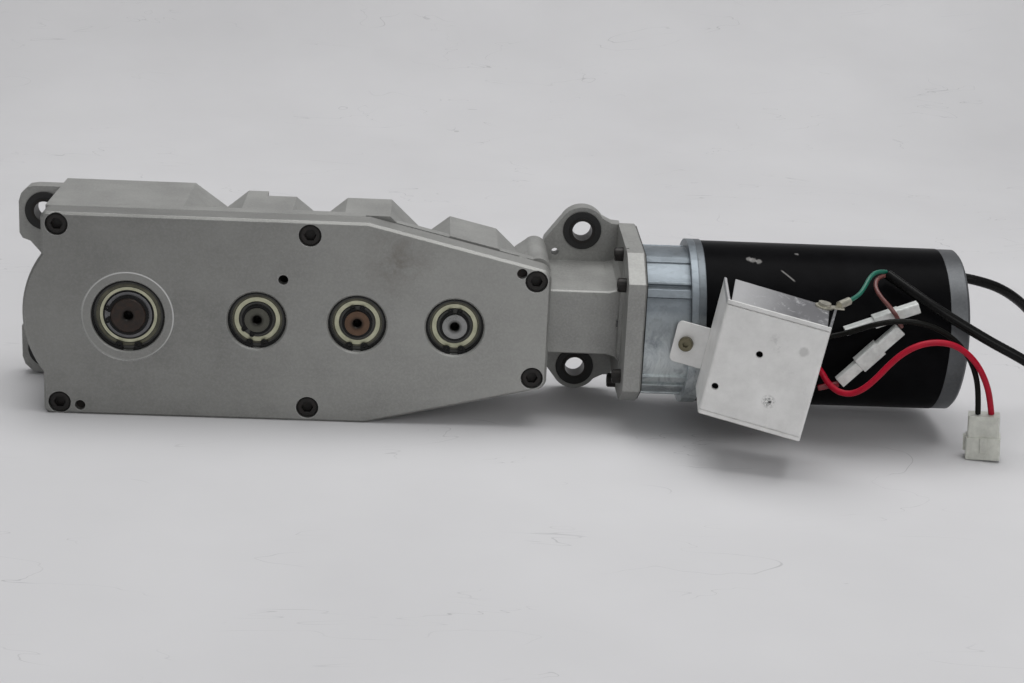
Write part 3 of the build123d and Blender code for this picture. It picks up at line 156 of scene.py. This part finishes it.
class Nodes:
    """A short way to build one material's node tree."""

    def __init__(self, name):
        self.material = bpy.data.materials.new(name)
        self.material.use_nodes = True
        self.tree = self.material.node_tree
        self.tree.nodes.clear()
        output = self.tree.nodes.new("ShaderNodeOutputMaterial")
        self.shader = self.tree.nodes.new("ShaderNodeBsdfPrincipled")
        self.link(self.shader, "BSDF", output, "Surface")
        self.place = self.tree.nodes.new("ShaderNodeTexCoord")

    def link(self, source, out_name, target, in_name):
        self.tree.links.new(source.outputs[out_name], target.inputs[in_name])

    def set(self, **values):
        """Sets the shader's own sockets; an underscore stands for a space in a name."""
        for name, value in values.items():
            self.shader.inputs[name.replace("_", " ")].default_value = value

    def stretched(self, stretch):
        """Object coordinates scaled by stretch along each axis."""
        mapping = self.tree.nodes.new("ShaderNodeMapping")
        mapping.inputs["Scale"].default_value = stretch
        self.link(self.place, "Object", mapping, "Vector")
        return mapping

    def noise(self, scale, detail=4.0, roughness=0.55, stretch=(1, 1, 1), distortion=0.0):
        """A noise of scale features per metre, as a value from 0 to 1."""
        noise = self.tree.nodes.new("ShaderNodeTexNoise")
        noise.inputs["Scale"].default_value = scale
        noise.inputs["Detail"].default_value = detail
        noise.inputs["Roughness"].default_value = roughness
        noise.inputs["Distortion"].default_value = distortion
        self.link(self.stretched(stretch), "Vector", noise, "Vector")
        return noise.outputs["Fac"]

    def ramp(self, value, low, high):
        """value mapped so that low gives 0 and high gives 1."""
        node = self.tree.nodes.new("ShaderNodeMapRange")
        node.inputs["From Min"].default_value = low
        node.inputs["From Max"].default_value = high
        self.tree.links.new(value, node.inputs["Value"])
        return node.outputs["Result"]

    def math(self, kind, first, second=0.0):
        """One operation on two values, each a number or a socket."""
        node = self.tree.nodes.new("ShaderNodeMath")
        node.operation = kind
        for socket, value in zip(node.inputs, (first, second)):
            if isinstance(value, (int, float)):
                socket.default_value = value
            else:
                self.tree.links.new(value, socket)
        return node.outputs["Value"]

    def times(self, first, second):
        return self.math("MULTIPLY", first, second)

    def mix(self, factor, first, second):
        """Mixes two colours, each a colour tuple or a socket, by a socket."""
        node = self.tree.nodes.new("ShaderNodeMix")
        node.data_type = "RGBA"
        self.tree.links.new(factor, node.inputs[MIX_FACTOR])
        for index, value in ((MIX_FIRST, first), (MIX_SECOND, second)):
            if isinstance(value, tuple):
                node.inputs[index].default_value = value + (1.0,)
            else:
                self.tree.links.new(value, node.inputs[index])
        return node.outputs[MIX_RESULT]

    def over(self, tone, layer, mask, amount):
        """A layer of colour over a tone, amount strong where mask is 1."""
        return self.mix(self.times(mask, amount), tone, layer)

    def edges(self, radius, high=0.30):
        """1 on sharp edges within radius, 0 elsewhere; high is the turn that counts as sharp."""
        bevel = self.tree.nodes.new("ShaderNodeBevel")
        bevel.samples = BEVEL_SAMPLES
        bevel.inputs["Radius"].default_value = radius
        geometry = self.tree.nodes.new("ShaderNodeNewGeometry")
        dot = self.tree.nodes.new("ShaderNodeVectorMath")
        dot.operation = "DOT_PRODUCT"
        self.tree.links.new(bevel.outputs["Normal"], dot.inputs[0])
        self.tree.links.new(geometry.outputs["Normal"], dot.inputs[1])
        return self.ramp(self.math("SUBTRACT", 1.0, dot.outputs["Value"]), 0.03, high)

    def away(self, point):
        """The distance from a point, in metres."""
        node = self.tree.nodes.new("ShaderNodeVectorMath")
        node.operation = "DISTANCE"
        self.link(self.place, "Object", node, 0)
        node.inputs[1].default_value = point
        return node.outputs["Value"]

    def along(self, point, direction):
        """How far past a point along a direction, in metres."""
        offset = self.tree.nodes.new("ShaderNodeVectorMath")
        offset.operation = "SUBTRACT"
        self.link(self.place, "Object", offset, 0)
        offset.inputs[1].default_value = point
        dot = self.tree.nodes.new("ShaderNodeVectorMath")
        dot.operation = "DOT_PRODUCT"
        self.tree.links.new(offset.outputs["Vector"], dot.inputs[0])
        dot.inputs[1].default_value = direction
        return dot.outputs["Value"]

    def axis_distance(self, centre, scale=1.0):
        """The distance from a shaft's axis, parallel to Y, over a radius."""
        x = self.along(centre, (1, 0, 0))
        z = self.along(centre, (0, 0, 1))
        square = self.math("ADD", self.times(x, x), self.times(z, z))
        return self.math("DIVIDE", self.math("SQRT", square), scale)

    def band(self, value, low, high, soft):
        """1 between low and high, falling to 0 over soft on both sides."""
        rise = self.ramp(value, low - soft, low)
        fall = self.ramp(value, high + soft, high)
        return self.times(rise, fall)

    def cells(self, scale, stretch):
        """A random tone for each crystal of a spangled surface."""
        cells = self.tree.nodes.new("ShaderNodeTexVoronoi")
        cells.inputs["Scale"].default_value = scale
        self.link(self.stretched(stretch), "Vector", cells, "Vector")
        split = self.tree.nodes.new("ShaderNodeSeparateColor")
        self.tree.links.new(cells.outputs["Color"], split.inputs["Color"])
        return split.outputs["Red"]

    def bump(self, height, strength, distance, rounding=0.0):
        """Relief from height, over edges rounded in the shading by rounding."""
        node = self.tree.nodes.new("ShaderNodeBump")
        node.inputs["Strength"].default_value = strength
        node.inputs["Distance"].default_value = distance
        self.tree.links.new(height, node.inputs["Height"])
        if rounding:
            bevel = self.tree.nodes.new("ShaderNodeBevel")
            bevel.samples = BEVEL_SAMPLES
            bevel.inputs["Radius"].default_value = rounding
            self.tree.links.new(bevel.outputs["Normal"], node.inputs["Normal"])
        self.tree.links.new(node.outputs["Normal"], self.shader.inputs["Normal"])

    def colour(self, value):
        self.tree.links.new(value, self.shader.inputs["Base Color"])

    def roughness(self, value, low, high):
        """Roughness from low where value is 0 to high where it is 1."""
        node = self.tree.nodes.new("ShaderNodeMapRange")
        node.inputs["To Min"].default_value = low
        node.inputs["To Max"].default_value = high
        self.tree.links.new(value, node.inputs["Value"])
        self.tree.links.new(node.outputs["Result"], self.shader.inputs["Roughness"])


def shade(colour, factor):
    """A colour made darker or lighter by factor."""
    return tuple(min(1.0, channel * factor) for channel in colour[:3])


GRIME = (0.10, 0.09, 0.08)
RUBBED = (0.34, 0.33, 0.32)          # bare primer in the motor can's scratches
OUTPUT_AXIS = at(0, 0, 0)
SHAFTS = ((0.0, 17.5), (61.5, 14.0), (109.5, 14.0), (156.5, 14.0))   # along X, bearing radius


def cover_metal(name, colour):
    """Machined cover: fine random grain, cloudy tone, oily smudges, painted shade towards its top
    left, painted light towards its right and a painted highlight on a ring round the output
    bearing.
    """
    kit = Nodes(name)
    fine = kit.noise(950.0, detail=6.0, roughness=0.70)
    cloud = kit.noise(26.0, detail=7.0, roughness=0.62)
    streak = kit.noise(60.0, detail=8.0, roughness=0.7, stretch=(0.35, 1.0, 2.2))
    blotch = kit.noise(95.0, detail=9.0, roughness=0.75, distortion=0.8)
    tone = kit.mix(kit.ramp(cloud, 0.34, 0.68), shade(colour, 0.86), shade(colour, 1.12))
    tone = kit.over(tone, shade(colour, 1.35), kit.ramp(streak, 0.5, 0.72), 0.25)
    tone = kit.over(tone, shade(colour, 1.5), kit.ramp(fine, 0.42, 0.66), 0.34)
    # painted shade: the cover grows darker towards its top left
    painted_shade_top_left = kit.ramp(kit.along(at(0, 0, 45), (0.8, 0, -0.6)), 0.16, -0.03)
    tone = kit.over(tone, shade(colour, 0.45), painted_shade_top_left, 0.36)
    # painted light: the cover grows lighter towards its right, standing in for a brighter
    # reflection there
    bright = kit.ramp(kit.along(at(60, 0, 0), (1, 0, 0)), 0.0, 0.14)
    tone = kit.over(tone, shade(colour, 1.7), bright, 0.30)
    radius = kit.axis_distance(OUTPUT_AXIS)
    # painted highlight on the machined ring round the output bearing, brightest towards the upper
    # right
    lit = kit.ramp(kit.along(OUTPUT_AXIS, (0.6, 0, 0.8)), -0.016, 0.020)
    ring = kit.times(kit.band(radius, 0.02145, 0.0219, 0.0002), kit.math("ADD", lit, 0.25))
    tone = kit.over(tone, (0.85, 0.85, 0.84), ring, 0.60)
    tone = kit.over(tone, shade(colour, 1.5), kit.band(radius, 0.0178, 0.0213, 0.0003), 0.15)
    near_smudge = kit.ramp(kit.away(at(128, 0, 32)), 0.020, 0.002)
    smudge = kit.times(near_smudge, kit.ramp(blotch, 0.40, 0.62))
    tone = kit.over(tone, (0.13, 0.105, 0.08), smudge, 0.42)
    tone = kit.over(tone, GRIME, kit.ramp(blotch, 0.64, 0.80), 0.32)
    worn = kit.times(kit.edges(0.0007), kit.ramp(blotch, 0.30, 0.60))
    kit.colour(kit.over(tone, (0.80, 0.80, 0.79), worn, 0.55))
    kit.set(Metallic=0.62)
    kit.roughness(cloud, 0.40, 0.52)
    kit.bump(fine, 0.50, 0.00007, rounding=0.0005)
    return kit.material


def cast_metal(name, colour, metallic, rough, grain, depth):
    """Blasted casting: fine grain, cloudy tone, dirt in blotches, bright worn edges."""
    kit = Nodes(name)
    fine = kit.noise(grain, detail=6.0, roughness=0.6)
    cloud = kit.noise(38.0, detail=6.0, roughness=0.62)
    blotch = kit.noise(85.0, detail=9.0, roughness=0.74, distortion=0.6)
    tone = kit.mix(kit.ramp(cloud, 0.35, 0.68), shade(colour, 0.82), shade(colour, 1.08))
    tone = kit.over(tone, shade(colour, 1.5), kit.ramp(fine, 0.42, 0.68), 0.26)
    tone = kit.over(tone, GRIME, kit.ramp(blotch, 0.60, 0.78), 0.35)
    worn = kit.times(kit.edges(0.0006), kit.ramp(blotch, 0.35, 0.65))
    kit.colour(kit.over(tone, shade(colour, 1.8), worn, 0.5))
    kit.set(Metallic=metallic)
    kit.roughness(cloud, rough - 0.05, rough + 0.09)
    kit.bump(fine, 0.40, depth, rounding=0.0006)
    return kit.material


def zinc_metal(name, colour):
    """Blue-grey zinc casting: spangle, painted shade above, white bloom low down that is partly
    painted light there, dark rubbed streaks.
    """
    kit = Nodes(name)
    fine = kit.noise(520.0, detail=7.0, roughness=0.68)
    spangle = kit.cells(420.0, stretch=(0.6, 1.0, 1.0))
    cloud = kit.noise(44.0, detail=8.0, roughness=0.70, distortion=0.7)
    rub = kit.noise(75.0, detail=9.0, roughness=0.78, stretch=(1.0, 1.0, 0.4), distortion=1.0)
    tone = kit.mix(kit.ramp(cloud, 0.36, 0.66), shade(colour, 0.70), shade(colour, 1.15))
    tone = kit.over(tone, shade(colour, 1.6), spangle, 0.42)
    # painted shade: darker in a band just above the axis and over the whole upper part
    painted_shade_band = kit.band(kit.along(at(0, 0, 0), (0, 0, 1)), 0.000, 0.014, 0.012)
    tone = kit.over(tone, shade(colour, 0.35), painted_shade_band, 0.55)
    painted_shade_above = kit.ramp(kit.along(at(0, 0, 0), (0, 0, 1)), -0.004, 0.016)
    tone = kit.over(tone, shade(colour, 0.30), painted_shade_above, 0.42)
    # white bloom in patches, kept low down, where it also stands in for painted light on the lower
    # part
    low = kit.ramp(kit.along(at(0, 0, 8), (0, 0, -1)), -0.006, 0.022)
    bloom_and_painted_light = kit.times(kit.ramp(rub, 0.32, 0.54), low)
    tone = kit.over(tone, (0.70, 0.74, 0.74), bloom_and_painted_light, 0.90)
    tone = kit.over(tone, (0.08, 0.085, 0.085), kit.ramp(rub, 0.56, 0.72), 0.55)
    kit.colour(kit.over(tone, shade(colour, 1.9), kit.edges(0.0006, high=0.28), 0.45))
    kit.set(Metallic=0.72)
    kit.roughness(cloud, 0.34, 0.52)
    kit.bump(fine, 0.45, 0.00012, rounding=0.0006)
    return kit.material


def turned_metal(name, colour, rough, rust=0.0, metallic=1.0, centre_x=None):
    """Machined or drawn steel: fine lines, tone changes, perhaps rust and painted shade in a centre
    hole.
    """
    kit = Nodes(name)
    fine = kit.noise(900.0, detail=4.0)
    cloud = kit.noise(160.0, detail=6.0, roughness=0.65)
    tone = kit.mix(kit.ramp(cloud, 0.3, 0.7), shade(colour, 0.72), shade(colour, 1.18))
    if rust:
        spots = kit.noise(330.0, detail=8.0, roughness=0.75)
        tone = kit.over(tone, (0.10, 0.045, 0.022), kit.ramp(spots, 0.45, 0.62), rust)
    if centre_x is not None:
        radius = kit.axis_distance(at(centre_x, 0, 0))
        lathe = kit.math("SINE", kit.times(radius, 9000.0))
        tone = kit.over(tone, shade(colour, 1.6), kit.ramp(lathe, -1.0, 1.0), 0.25)
        # painted shade: the centre hole and its rim are painted near black
        tone = kit.mix(kit.ramp(radius, 0.0038, 0.0020), tone, (0.006, 0.005, 0.004))
    kit.colour(tone)
    kit.set(Metallic=metallic)
    kit.roughness(cloud, rough - 0.06, rough + 0.12)
    kit.bump(fine, 0.25, 0.00003, rounding=0.0003)
    return kit.material


def soft_plastic(name, colour, rough, grain=1400.0, milky=0.0, coat=0.0, dust_amount=0.10,
                 specular=0.5):
    """Moulded plastic or rubber: fine matte grain, slight tone changes and dust."""
    kit = Nodes(name)
    fine = kit.noise(grain, detail=3.0)
    cloud = kit.noise(160.0, detail=6.0, roughness=0.65)
    tone = kit.mix(kit.ramp(cloud, 0.35, 0.7), shade(colour, 0.84), shade(colour, 1.14))
    dust = kit.noise(520.0, detail=8.0, roughness=0.7)
    tone = kit.over(tone, (0.40, 0.39, 0.37), kit.ramp(dust, 0.60, 0.80), dust_amount)
    kit.colour(tone)
    kit.roughness(cloud, rough - 0.05, rough + 0.08)
    kit.set(Coat_Weight=coat, Coat_Roughness=0.25, Specular_IOR_Level=specular)
    if milky:
        kit.set(Subsurface_Weight=milky, Subsurface_Radius=(0.003, 0.003, 0.003))
    kit.bump(fine, 0.3, 0.00002, rounding=0.0003)
    return kit.material


def milky_sleeves(name, colour):
    """Natural nylon with the terminal showing through, and a red wire in the lower sleeve's end."""
    kit = Nodes(name)
    fine = kit.noise(1200.0, detail=3.0)
    cloud = kit.noise(230.0, detail=6.0, roughness=0.68)
    tone = kit.mix(kit.ramp(cloud, 0.34, 0.66), shade(colour, 0.80), shade(colour, 1.06))
    tail = kit.ramp(kit.along(at(341.5, 0, -15.3), (0.696, 0, 0.718)), 0.0, -0.00015)
    kit.colour(kit.mix(tail, tone, (0.20, 0.003, 0.010)))
    kit.roughness(cloud, 0.26, 0.40)
    kit.set(Subsurface_Weight=0.35, Subsurface_Radius=(0.002, 0.002, 0.002), Coat_Weight=0.2)
    kit.bump(fine, 0.3, 0.00002, rounding=0.0005)
    return kit.material


def black_can(name):
    """Semi-gloss black lacquer on a steel tube, with light scratches and rubbed patches."""
    kit = Nodes(name)
    fine = kit.noise(700.0, detail=5.0)
    cloud = kit.noise(45.0, detail=6.0, roughness=0.65)
    lines = kit.noise(34.0, detail=9.0, roughness=0.85, stretch=(1.0, 1.0, 7.0), distortion=1.2)
    tone = kit.mix(kit.ramp(cloud, 0.3, 0.7), (0.0030, 0.0030, 0.0033), (0.0065, 0.0065, 0.0072))
    tone = kit.over(tone, (0.25, 0.25, 0.25), kit.ramp(lines, 0.70, 0.78), 0.05)
    ragged = kit.times(kit.noise(330.0, detail=8.0, roughness=0.8), 0.0050)
    for place, size in CHIPS:
        distance = kit.math("ADD", kit.away(at(*place)), ragged)
        rubbed = kit.ramp(distance, size + 0.0028, size + 0.0020)
        tone = kit.over(tone, RUBBED, rubbed, 0.55)
    middle = at(316.2, 2.3, 31.1)
    line = kit.band(kit.along(middle, (0.720, 0.541, 0.435)), -0.00025, 0.00025, 0.00025)
    scratch = kit.times(line, kit.ramp(kit.away(middle), 0.0048, 0.0036))
    kit.colour(kit.over(tone, RUBBED, scratch, 0.6))
    kit.set(Metallic=0.0, Specular_IOR_Level=0.015)
    kit.roughness(cloud, 0.26, 0.36)
    kit.bump(fine, 0.30, 0.00003, rounding=0.0004)
    return kit.material


def bent_sheet(name):
    """Milky aluminium sheet: wipe marks, a grey spot, a punched mark, dirty edges, and a painted
    reflection with a painted highlight streak on the top wall.
    """
    kit = Nodes(name)
    fine = kit.noise(1100.0, detail=4.0)
    cloud = kit.noise(62.0, detail=8.0, roughness=0.70)
    wipes = kit.noise(58.0, detail=9.0, roughness=0.82, stretch=(2.2, 1.0, 0.8), distortion=1.6)
    specks = kit.noise(240.0, detail=8.0, roughness=0.8)
    tone = kit.mix(kit.ramp(cloud, 0.3, 0.7), (0.70, 0.695, 0.68), (0.86, 0.855, 0.84))
    tone = kit.over(tone, (0.42, 0.41, 0.40), kit.ramp(wipes, 0.60, 0.70), 0.28)
    tone = kit.over(tone, (0.22, 0.215, 0.21), kit.ramp(specks, 0.66, 0.74), 0.38)
    near_smear = kit.ramp(kit.away(box_point(27.0, -13.5)), 0.0052, 0.0015)
    smear = kit.times(near_smear, kit.ramp(specks, 0.50, 0.60))
    tone = kit.over(tone, (0.30, 0.295, 0.29), smear, 0.45)
    ragged = kit.times(specks, 0.0022)
    spot = kit.ramp(kit.math("ADD", kit.away(box_point(39.2, -14.3)), ragged), 0.0038, 0.0027)
    tone = kit.over(tone, (0.30, 0.295, 0.285), spot, 0.42)
    crumbs = kit.ramp(kit.noise(900.0, detail=4.0, roughness=0.8), 0.47, 0.52)
    marred = kit.times(kit.ramp(kit.away(box_point(29.8, -41.7)), 0.0036, 0.0012), crumbs)
    tone = kit.over(tone, (0.09, 0.09, 0.088), marred, 0.75)
    punch = kit.ramp(kit.math("ADD", kit.away(box_point(30.5, -41.7)), ragged), 0.0021, 0.0016)
    tone = kit.over(tone, (0.02, 0.02, 0.02), punch, 0.90)
    worn = kit.times(kit.edges(0.0008), kit.ramp(specks, 0.42, 0.60))
    tone = kit.over(tone, (0.26, 0.26, 0.25), worn, 0.60)
    back = kit.ramp(kit.along(box_point(0, 0), BOX_BACK), 0.0012, 0.0020)
    top = kit.times(back, kit.ramp(kit.along(box_point(0, 0), BOX_UP), -0.0030, -0.0020))
    # painted reflection on the top wall: light at the left, dark at the right, with a painted
    # highlight streak
    aside = kit.math("ADD", kit.along(box_point(0, 0), BOX_RIGHT), kit.times(wipes, 0.020))
    painted_reflection = kit.mix(kit.ramp(aside, 0.014, 0.040), (0.38, 0.38, 0.39), (0.03, 0.03, 0.042))
    painted_highlight_streak = kit.times(kit.ramp(wipes, 0.54, 0.66), kit.ramp(aside, 0.014, 0.024))
    painted_reflection = kit.over(painted_reflection, (0.62, 0.62, 0.64), painted_highlight_streak, 0.8)
    tone = kit.over(tone, painted_reflection, top, 0.85)
    kit.colour(tone)
    kit.set(Metallic=0.12)
    kit.roughness(cloud, 0.36, 0.52)
    kit.bump(fine, 0.2, 0.00003, rounding=0.0006)
    return kit.material


def copper_like(name, colour):
    """Varnished windings or commutator bars: fine strands across the axis."""
    kit = Nodes(name)
    strands = kit.noise(180.0, detail=3.0, stretch=(14.0, 1.0, 1.0))
    kit.colour(kit.mix(kit.ramp(strands, 0.35, 0.65), shade(colour, 0.5), shade(colour, 1.2)))
    kit.set(Metallic=0.85)
    kit.roughness(strands, 0.28, 0.45)
    kit.bump(strands, 0.6, 0.0002)
    return kit.material


def shield_metal(name):
    """Pressed bearing shield: a bright chromate band inside and an oily brown one outside."""
    kit = Nodes(name)
    fine = kit.noise(900.0, detail=4.0)
    cloud = kit.noise(210.0, detail=5.0)
    share = None
    for x, radius in SHAFTS:
        ratio = kit.axis_distance(at(x, 0, 0), radius * MM)
        share = ratio if share is None else kit.math("MINIMUM", share, ratio)
    bright = kit.mix(kit.ramp(cloud, 0.35, 0.65), (0.44, 0.44, 0.31), (0.58, 0.57, 0.42))
    oily = kit.mix(kit.ramp(cloud, 0.35, 0.65), (0.065, 0.062, 0.045), (0.13, 0.125, 0.085))
    tone = kit.mix(kit.ramp(share, 0.775, 0.790), bright, oily)
    tone = kit.mix(kit.band(share, 0.785, 0.797, 0.004), tone, (0.01, 0.01, 0.008))
    inner_line = kit.band(kit.axis_distance(OUTPUT_AXIS), 0.0110, 0.0122, 0.0001)
    kit.colour(kit.mix(inner_line, tone, (0.01, 0.01, 0.009)))
    kit.set(Metallic=0.35)
    kit.roughness(cloud, 0.30, 0.44)
    kit.bump(fine, 0.2, 0.00002)
    return kit.material


def box_point(right, up, back=0.0):
    """A point on the terminal box, in millimetres from its front's top left corner."""
    return at(279.0, -53.2, 33.4) + (BOX_RIGHT * right + BOX_UP * up + BOX_BACK * back) * MM


BOX_RIGHT = Vector((0.9502, -0.2599, -0.1719))
BOX_UP = Vector((0.1658, -0.0454, 0.9851))
BOX_BACK = Vector((0.2639, 0.9646, 0.0))
CHIPS = (  # rubbed patches on the motor can: place and half size
    ((298.0, 11.1, 36.5), 0.0014), ((300.0, 10.4, 36.2), 0.0019), ((302.4, 9.7, 35.9), 0.0014),
    ((322.3, 16.5, 38.5), 0.0006),
)
STEELS = {
    "zinc_screws": dict(colour=(0.17, 0.155, 0.105), rough=0.34, rust=0.10),
    "black_steel": dict(colour=(0.020, 0.019, 0.018), rough=0.40, rust=0.06, metallic=0.5),
    "dowel_steel": dict(colour=(0.020, 0.018, 0.017), rough=0.5, rust=0.2, metallic=0.5),
    "bearing_steel": dict(colour=(0.16, 0.16, 0.165), rough=0.34),
    "spring_steel": dict(colour=(0.014, 0.014, 0.014), rough=0.24, metallic=0.8),
    "gear_steel": dict(colour=(0.42, 0.42, 0.41), rough=0.30, rust=0.05),
    "shaft_steel": dict(colour=(0.30, 0.29, 0.27), rough=0.32, rust=0.10),
    "lamination_steel": dict(colour=(0.25, 0.25, 0.26), rough=0.40),
    "terminal_tin": dict(colour=(0.62, 0.60, 0.52), rough=0.24),
}
PLASTICS = {
    "gasket_paper": dict(colour=(0.02, 0.02, 0.018), rough=0.75),
    "seal_rubber": dict(colour=(0.02, 0.02, 0.02), rough=0.6),
    "grommet_rubber": dict(colour=(0.008, 0.008, 0.008), rough=0.50),
    "magnet_ferrite": dict(colour=(0.05, 0.05, 0.05), rough=0.6),
    "holder_plastic": dict(colour=(0.03, 0.03, 0.03), rough=0.45),
    "brush_carbon": dict(colour=(0.03, 0.03, 0.03), rough=0.6),
    "gland_plastic": dict(colour=(0.008, 0.008, 0.008), rough=0.42),
    "connector_white": dict(colour=(0.60, 0.605, 0.55), rough=0.34, milky=0.3, coat=0.15),
    "jacket_black": dict(colour=(0.005, 0.005, 0.005), rough=0.26, grain=900.0,
                         dust_amount=0.01, specular=0.14),
    "wire_green": dict(colour=(0.004, 0.13, 0.085), rough=0.36, coat=0.15, dust_amount=0.03),
    "wire_brown": dict(colour=(0.16, 0.055, 0.050), rough=0.38, coat=0.15, dust_amount=0.03),
    "wire_black": dict(colour=(0.006, 0.006, 0.005), rough=0.26, dust_amount=0.01, specular=0.10),
    "wire_red": dict(colour=(0.40, 0.003, 0.022), rough=0.34, dust_amount=0.01, specular=0.22),
}
MATERIALS = {
    "cast_cover": cover_metal("cast_cover", (0.285, 0.285, 0.272)),
    "cast_housing": cast_metal("cast_housing", (0.33, 0.33, 0.317), 0.50, 0.52, 900.0, 0.00011),
    "shield_steel": shield_metal("shield_steel"),
    "zinc_casting": zinc_metal("zinc_casting", (0.27, 0.305, 0.335)),
    "can_black": black_can("can_black"),
    "winding_copper": copper_like("winding_copper", (0.45, 0.16, 0.06)),
    "commutator_copper": copper_like("commutator_copper", (0.60, 0.30, 0.16)),
    "box_sheet": bent_sheet("box_sheet"),
    "nylon_natural": milky_sleeves("nylon_natural", (0.74, 0.76, 0.74)),
    **{name: turned_metal(name, **look) for name, look in STEELS.items()},
    **{name: soft_plastic(name, **look) for name, look in PLASTICS.items()},
}
DARK_RACE = turned_metal("oily_race_steel", (0.070, 0.070, 0.066), 0.30)
OWN_LOOKS = {  # nodes that differ from the rest of their slot
    "bearing_outer_races": DARK_RACE,
    "second_inner_race": DARK_RACE,
    "third_inner_race": DARK_RACE,
    "bevel_inner_race": DARK_RACE,
    "motor_adapter": zinc_metal("adapter_zinc", (0.175, 0.195, 0.212)),
    "ring_terminal": turned_metal("dull_tin", (0.55, 0.53, 0.45), 0.34, metallic=0.75),
    "motor_end_cap": cast_metal("end_cap_metal", (0.108, 0.113, 0.119), 0.55, 0.42, 800.0, 0.00008),
    "output_shaft": turned_metal("output_shaft_steel", (0.022, 0.016, 0.013), 0.30, rust=0.25,
                                 metallic=0.4, centre_x=0.0),
    "second_shaft": turned_metal("second_shaft_steel", (0.085, 0.085, 0.070), 0.28, rust=0.05,
                                 metallic=0.6, centre_x=61.5),
    "third_shaft": turned_metal("third_shaft_steel", (0.115, 0.070, 0.045), 0.28, rust=0.30,
                                metallic=0.6, centre_x=109.5),
    "bevel_shaft": turned_metal("bevel_shaft_steel", (0.26, 0.26, 0.255), 0.26, rust=0.02,
                                metallic=0.8, centre_x=156.5),
}


def give(piece, slot_name):
    """A new piece takes a slot's material."""
    piece.data.materials.clear()
    piece.data.materials.append(MATERIALS[slot_name])


for subpart in frame["record"]["subparts"]:
    node = nodes[subpart["node"]]
    for material_slot in node.material_slots:
        material_slot.link = "OBJECT"
        material_slot.material = OWN_LOOKS.get(subpart["node"], MATERIALS[subpart["material_slot"]])
for piece, slot_name in ((cable, "jacket_black"), (green, "wire_green"), (brown, "wire_brown"),
                         (black, "wire_black"), (red, "wire_red")):
    give(piece, slot_name)


# ---------------------------------------------------------------- floor and light
BEND_START, BEND_RADIUS = 0.55, 0.9      # where and how the table top curves up
TABLE_FRONT, TABLE_SIDE, WALL_TOP = -3.0, 4.0, 4.0


def sweep_floor():
    """A pale table top that curves up into the backdrop, with faint scuffs and painted shade
    darkening the backdrop towards the back, top and left.
    """
    mesh = bpy.data.meshes.new("floor")
    sheet = bmesh.new()
    profile = [(TABLE_FRONT, 0.0), (BEND_START, 0.0)]
    for angle in map(math.radians, range(10, 91, 10)):
        profile.append((BEND_START + BEND_RADIUS * math.sin(angle),
                        BEND_RADIUS - BEND_RADIUS * math.cos(angle)))
    profile.append((BEND_START + BEND_RADIUS, WALL_TOP))
    rows = [[sheet.verts.new((x, y, z)) for y, z in profile] for x in (-TABLE_SIDE, TABLE_SIDE)]
    for index in range(len(profile) - 1):
        sheet.faces.new((rows[0][index], rows[1][index], rows[1][index + 1], rows[0][index + 1]))
    for face in sheet.faces:
        face.smooth = True
    sheet.to_mesh(mesh)
    floor = bpy.data.objects.new("floor", mesh)
    kit = Nodes("table_top")
    cloud = kit.noise(5.0, detail=5.0)
    scuffs = kit.noise(16.0, detail=12.0, roughness=0.8, stretch=(1.0, 3.5, 1.0), distortion=1.5)
    tone = kit.mix(kit.ramp(cloud, 0.3, 0.7), (0.60, 0.595, 0.605), (0.66, 0.655, 0.665))
    tone = kit.over(tone, (0.40, 0.40, 0.40), kit.ramp(scuffs, 0.66, 0.78), 0.10)
    wander = kit.noise(7.0, detail=3.0, stretch=(1.0, 2.6, 1.0), distortion=0.8)
    scratch = kit.band(wander, 0.4990, 0.5010, 0.0012)
    patchy = kit.ramp(kit.noise(14.0, detail=3.0), 0.50, 0.62)
    scratched = kit.times(scratch, patchy)
    tone = kit.over(tone, (0.22, 0.22, 0.23), scratched, 0.35)
    # painted shade: darker further up the backdrop and towards its left
    painted_backdrop_shade = kit.ramp(kit.along(Vector((0, 0.9, 0)), (-0.35, 0.70, 0.55)), -0.10, 1.0)
    kit.colour(kit.over(tone, (0.34, 0.335, 0.34), painted_backdrop_shade, 0.70))
    kit.set(Roughness=0.75)
    mesh.materials.append(kit.material)
    bpy.context.scene.collection.objects.link(floor)


def area_light(name, place, target, size, power):
    """A soft white lamp at a place, turned to a target."""
    data = bpy.data.lights.new(name, "AREA")
    data.shape = "RECTANGLE"
    data.size, data.size_y = size
    data.energy = power
    lamp = bpy.data.objects.new(name, data)
    lamp.location = place
    lamp.rotation_euler = (Vector(target) - Vector(place)).to_track_quat("-Z", "Y").to_euler()
    bpy.context.scene.collection.objects.link(lamp)


def light_room():
    """An even grey room, darker below the horizon than above it."""
    world = bpy.data.worlds.new("room")
    world.use_nodes = True
    room = world.node_tree
    direction = room.nodes.new("ShaderNodeTexCoord")
    parts = room.nodes.new("ShaderNodeSeparateXYZ")
    height = room.nodes.new("ShaderNodeMapRange")
    limits = (("From Min", -0.05), ("From Max", 0.85), ("To Min", 0.06), ("To Max", 0.50))
    for socket, value in limits:
        height.inputs[socket].default_value = value
    room.links.new(direction.outputs["Generated"], parts.inputs["Vector"])
    room.links.new(parts.outputs["Z"], height.inputs["Value"])
    room.links.new(height.outputs["Result"], room.nodes["Background"].inputs["Strength"])
    room.nodes["Background"].inputs["Color"].default_value = (0.88, 0.89, 0.90, 1)
    bpy.context.scene.world = world


sweep_floor()
area_light("ceiling", (0.1, 0.22, 1.7), target=(0, 0, 0), size=(1.7, 1.2), power=21)
area_light("front_fill", (0.7, -1.9, 1.0), target=(0, 0, 0.05), size=(1.5, 1.0), power=9.5)
light_room()
bpy.context.scene.view_settings.view_transform = "Standard"

bpy.context.view_layer.update()
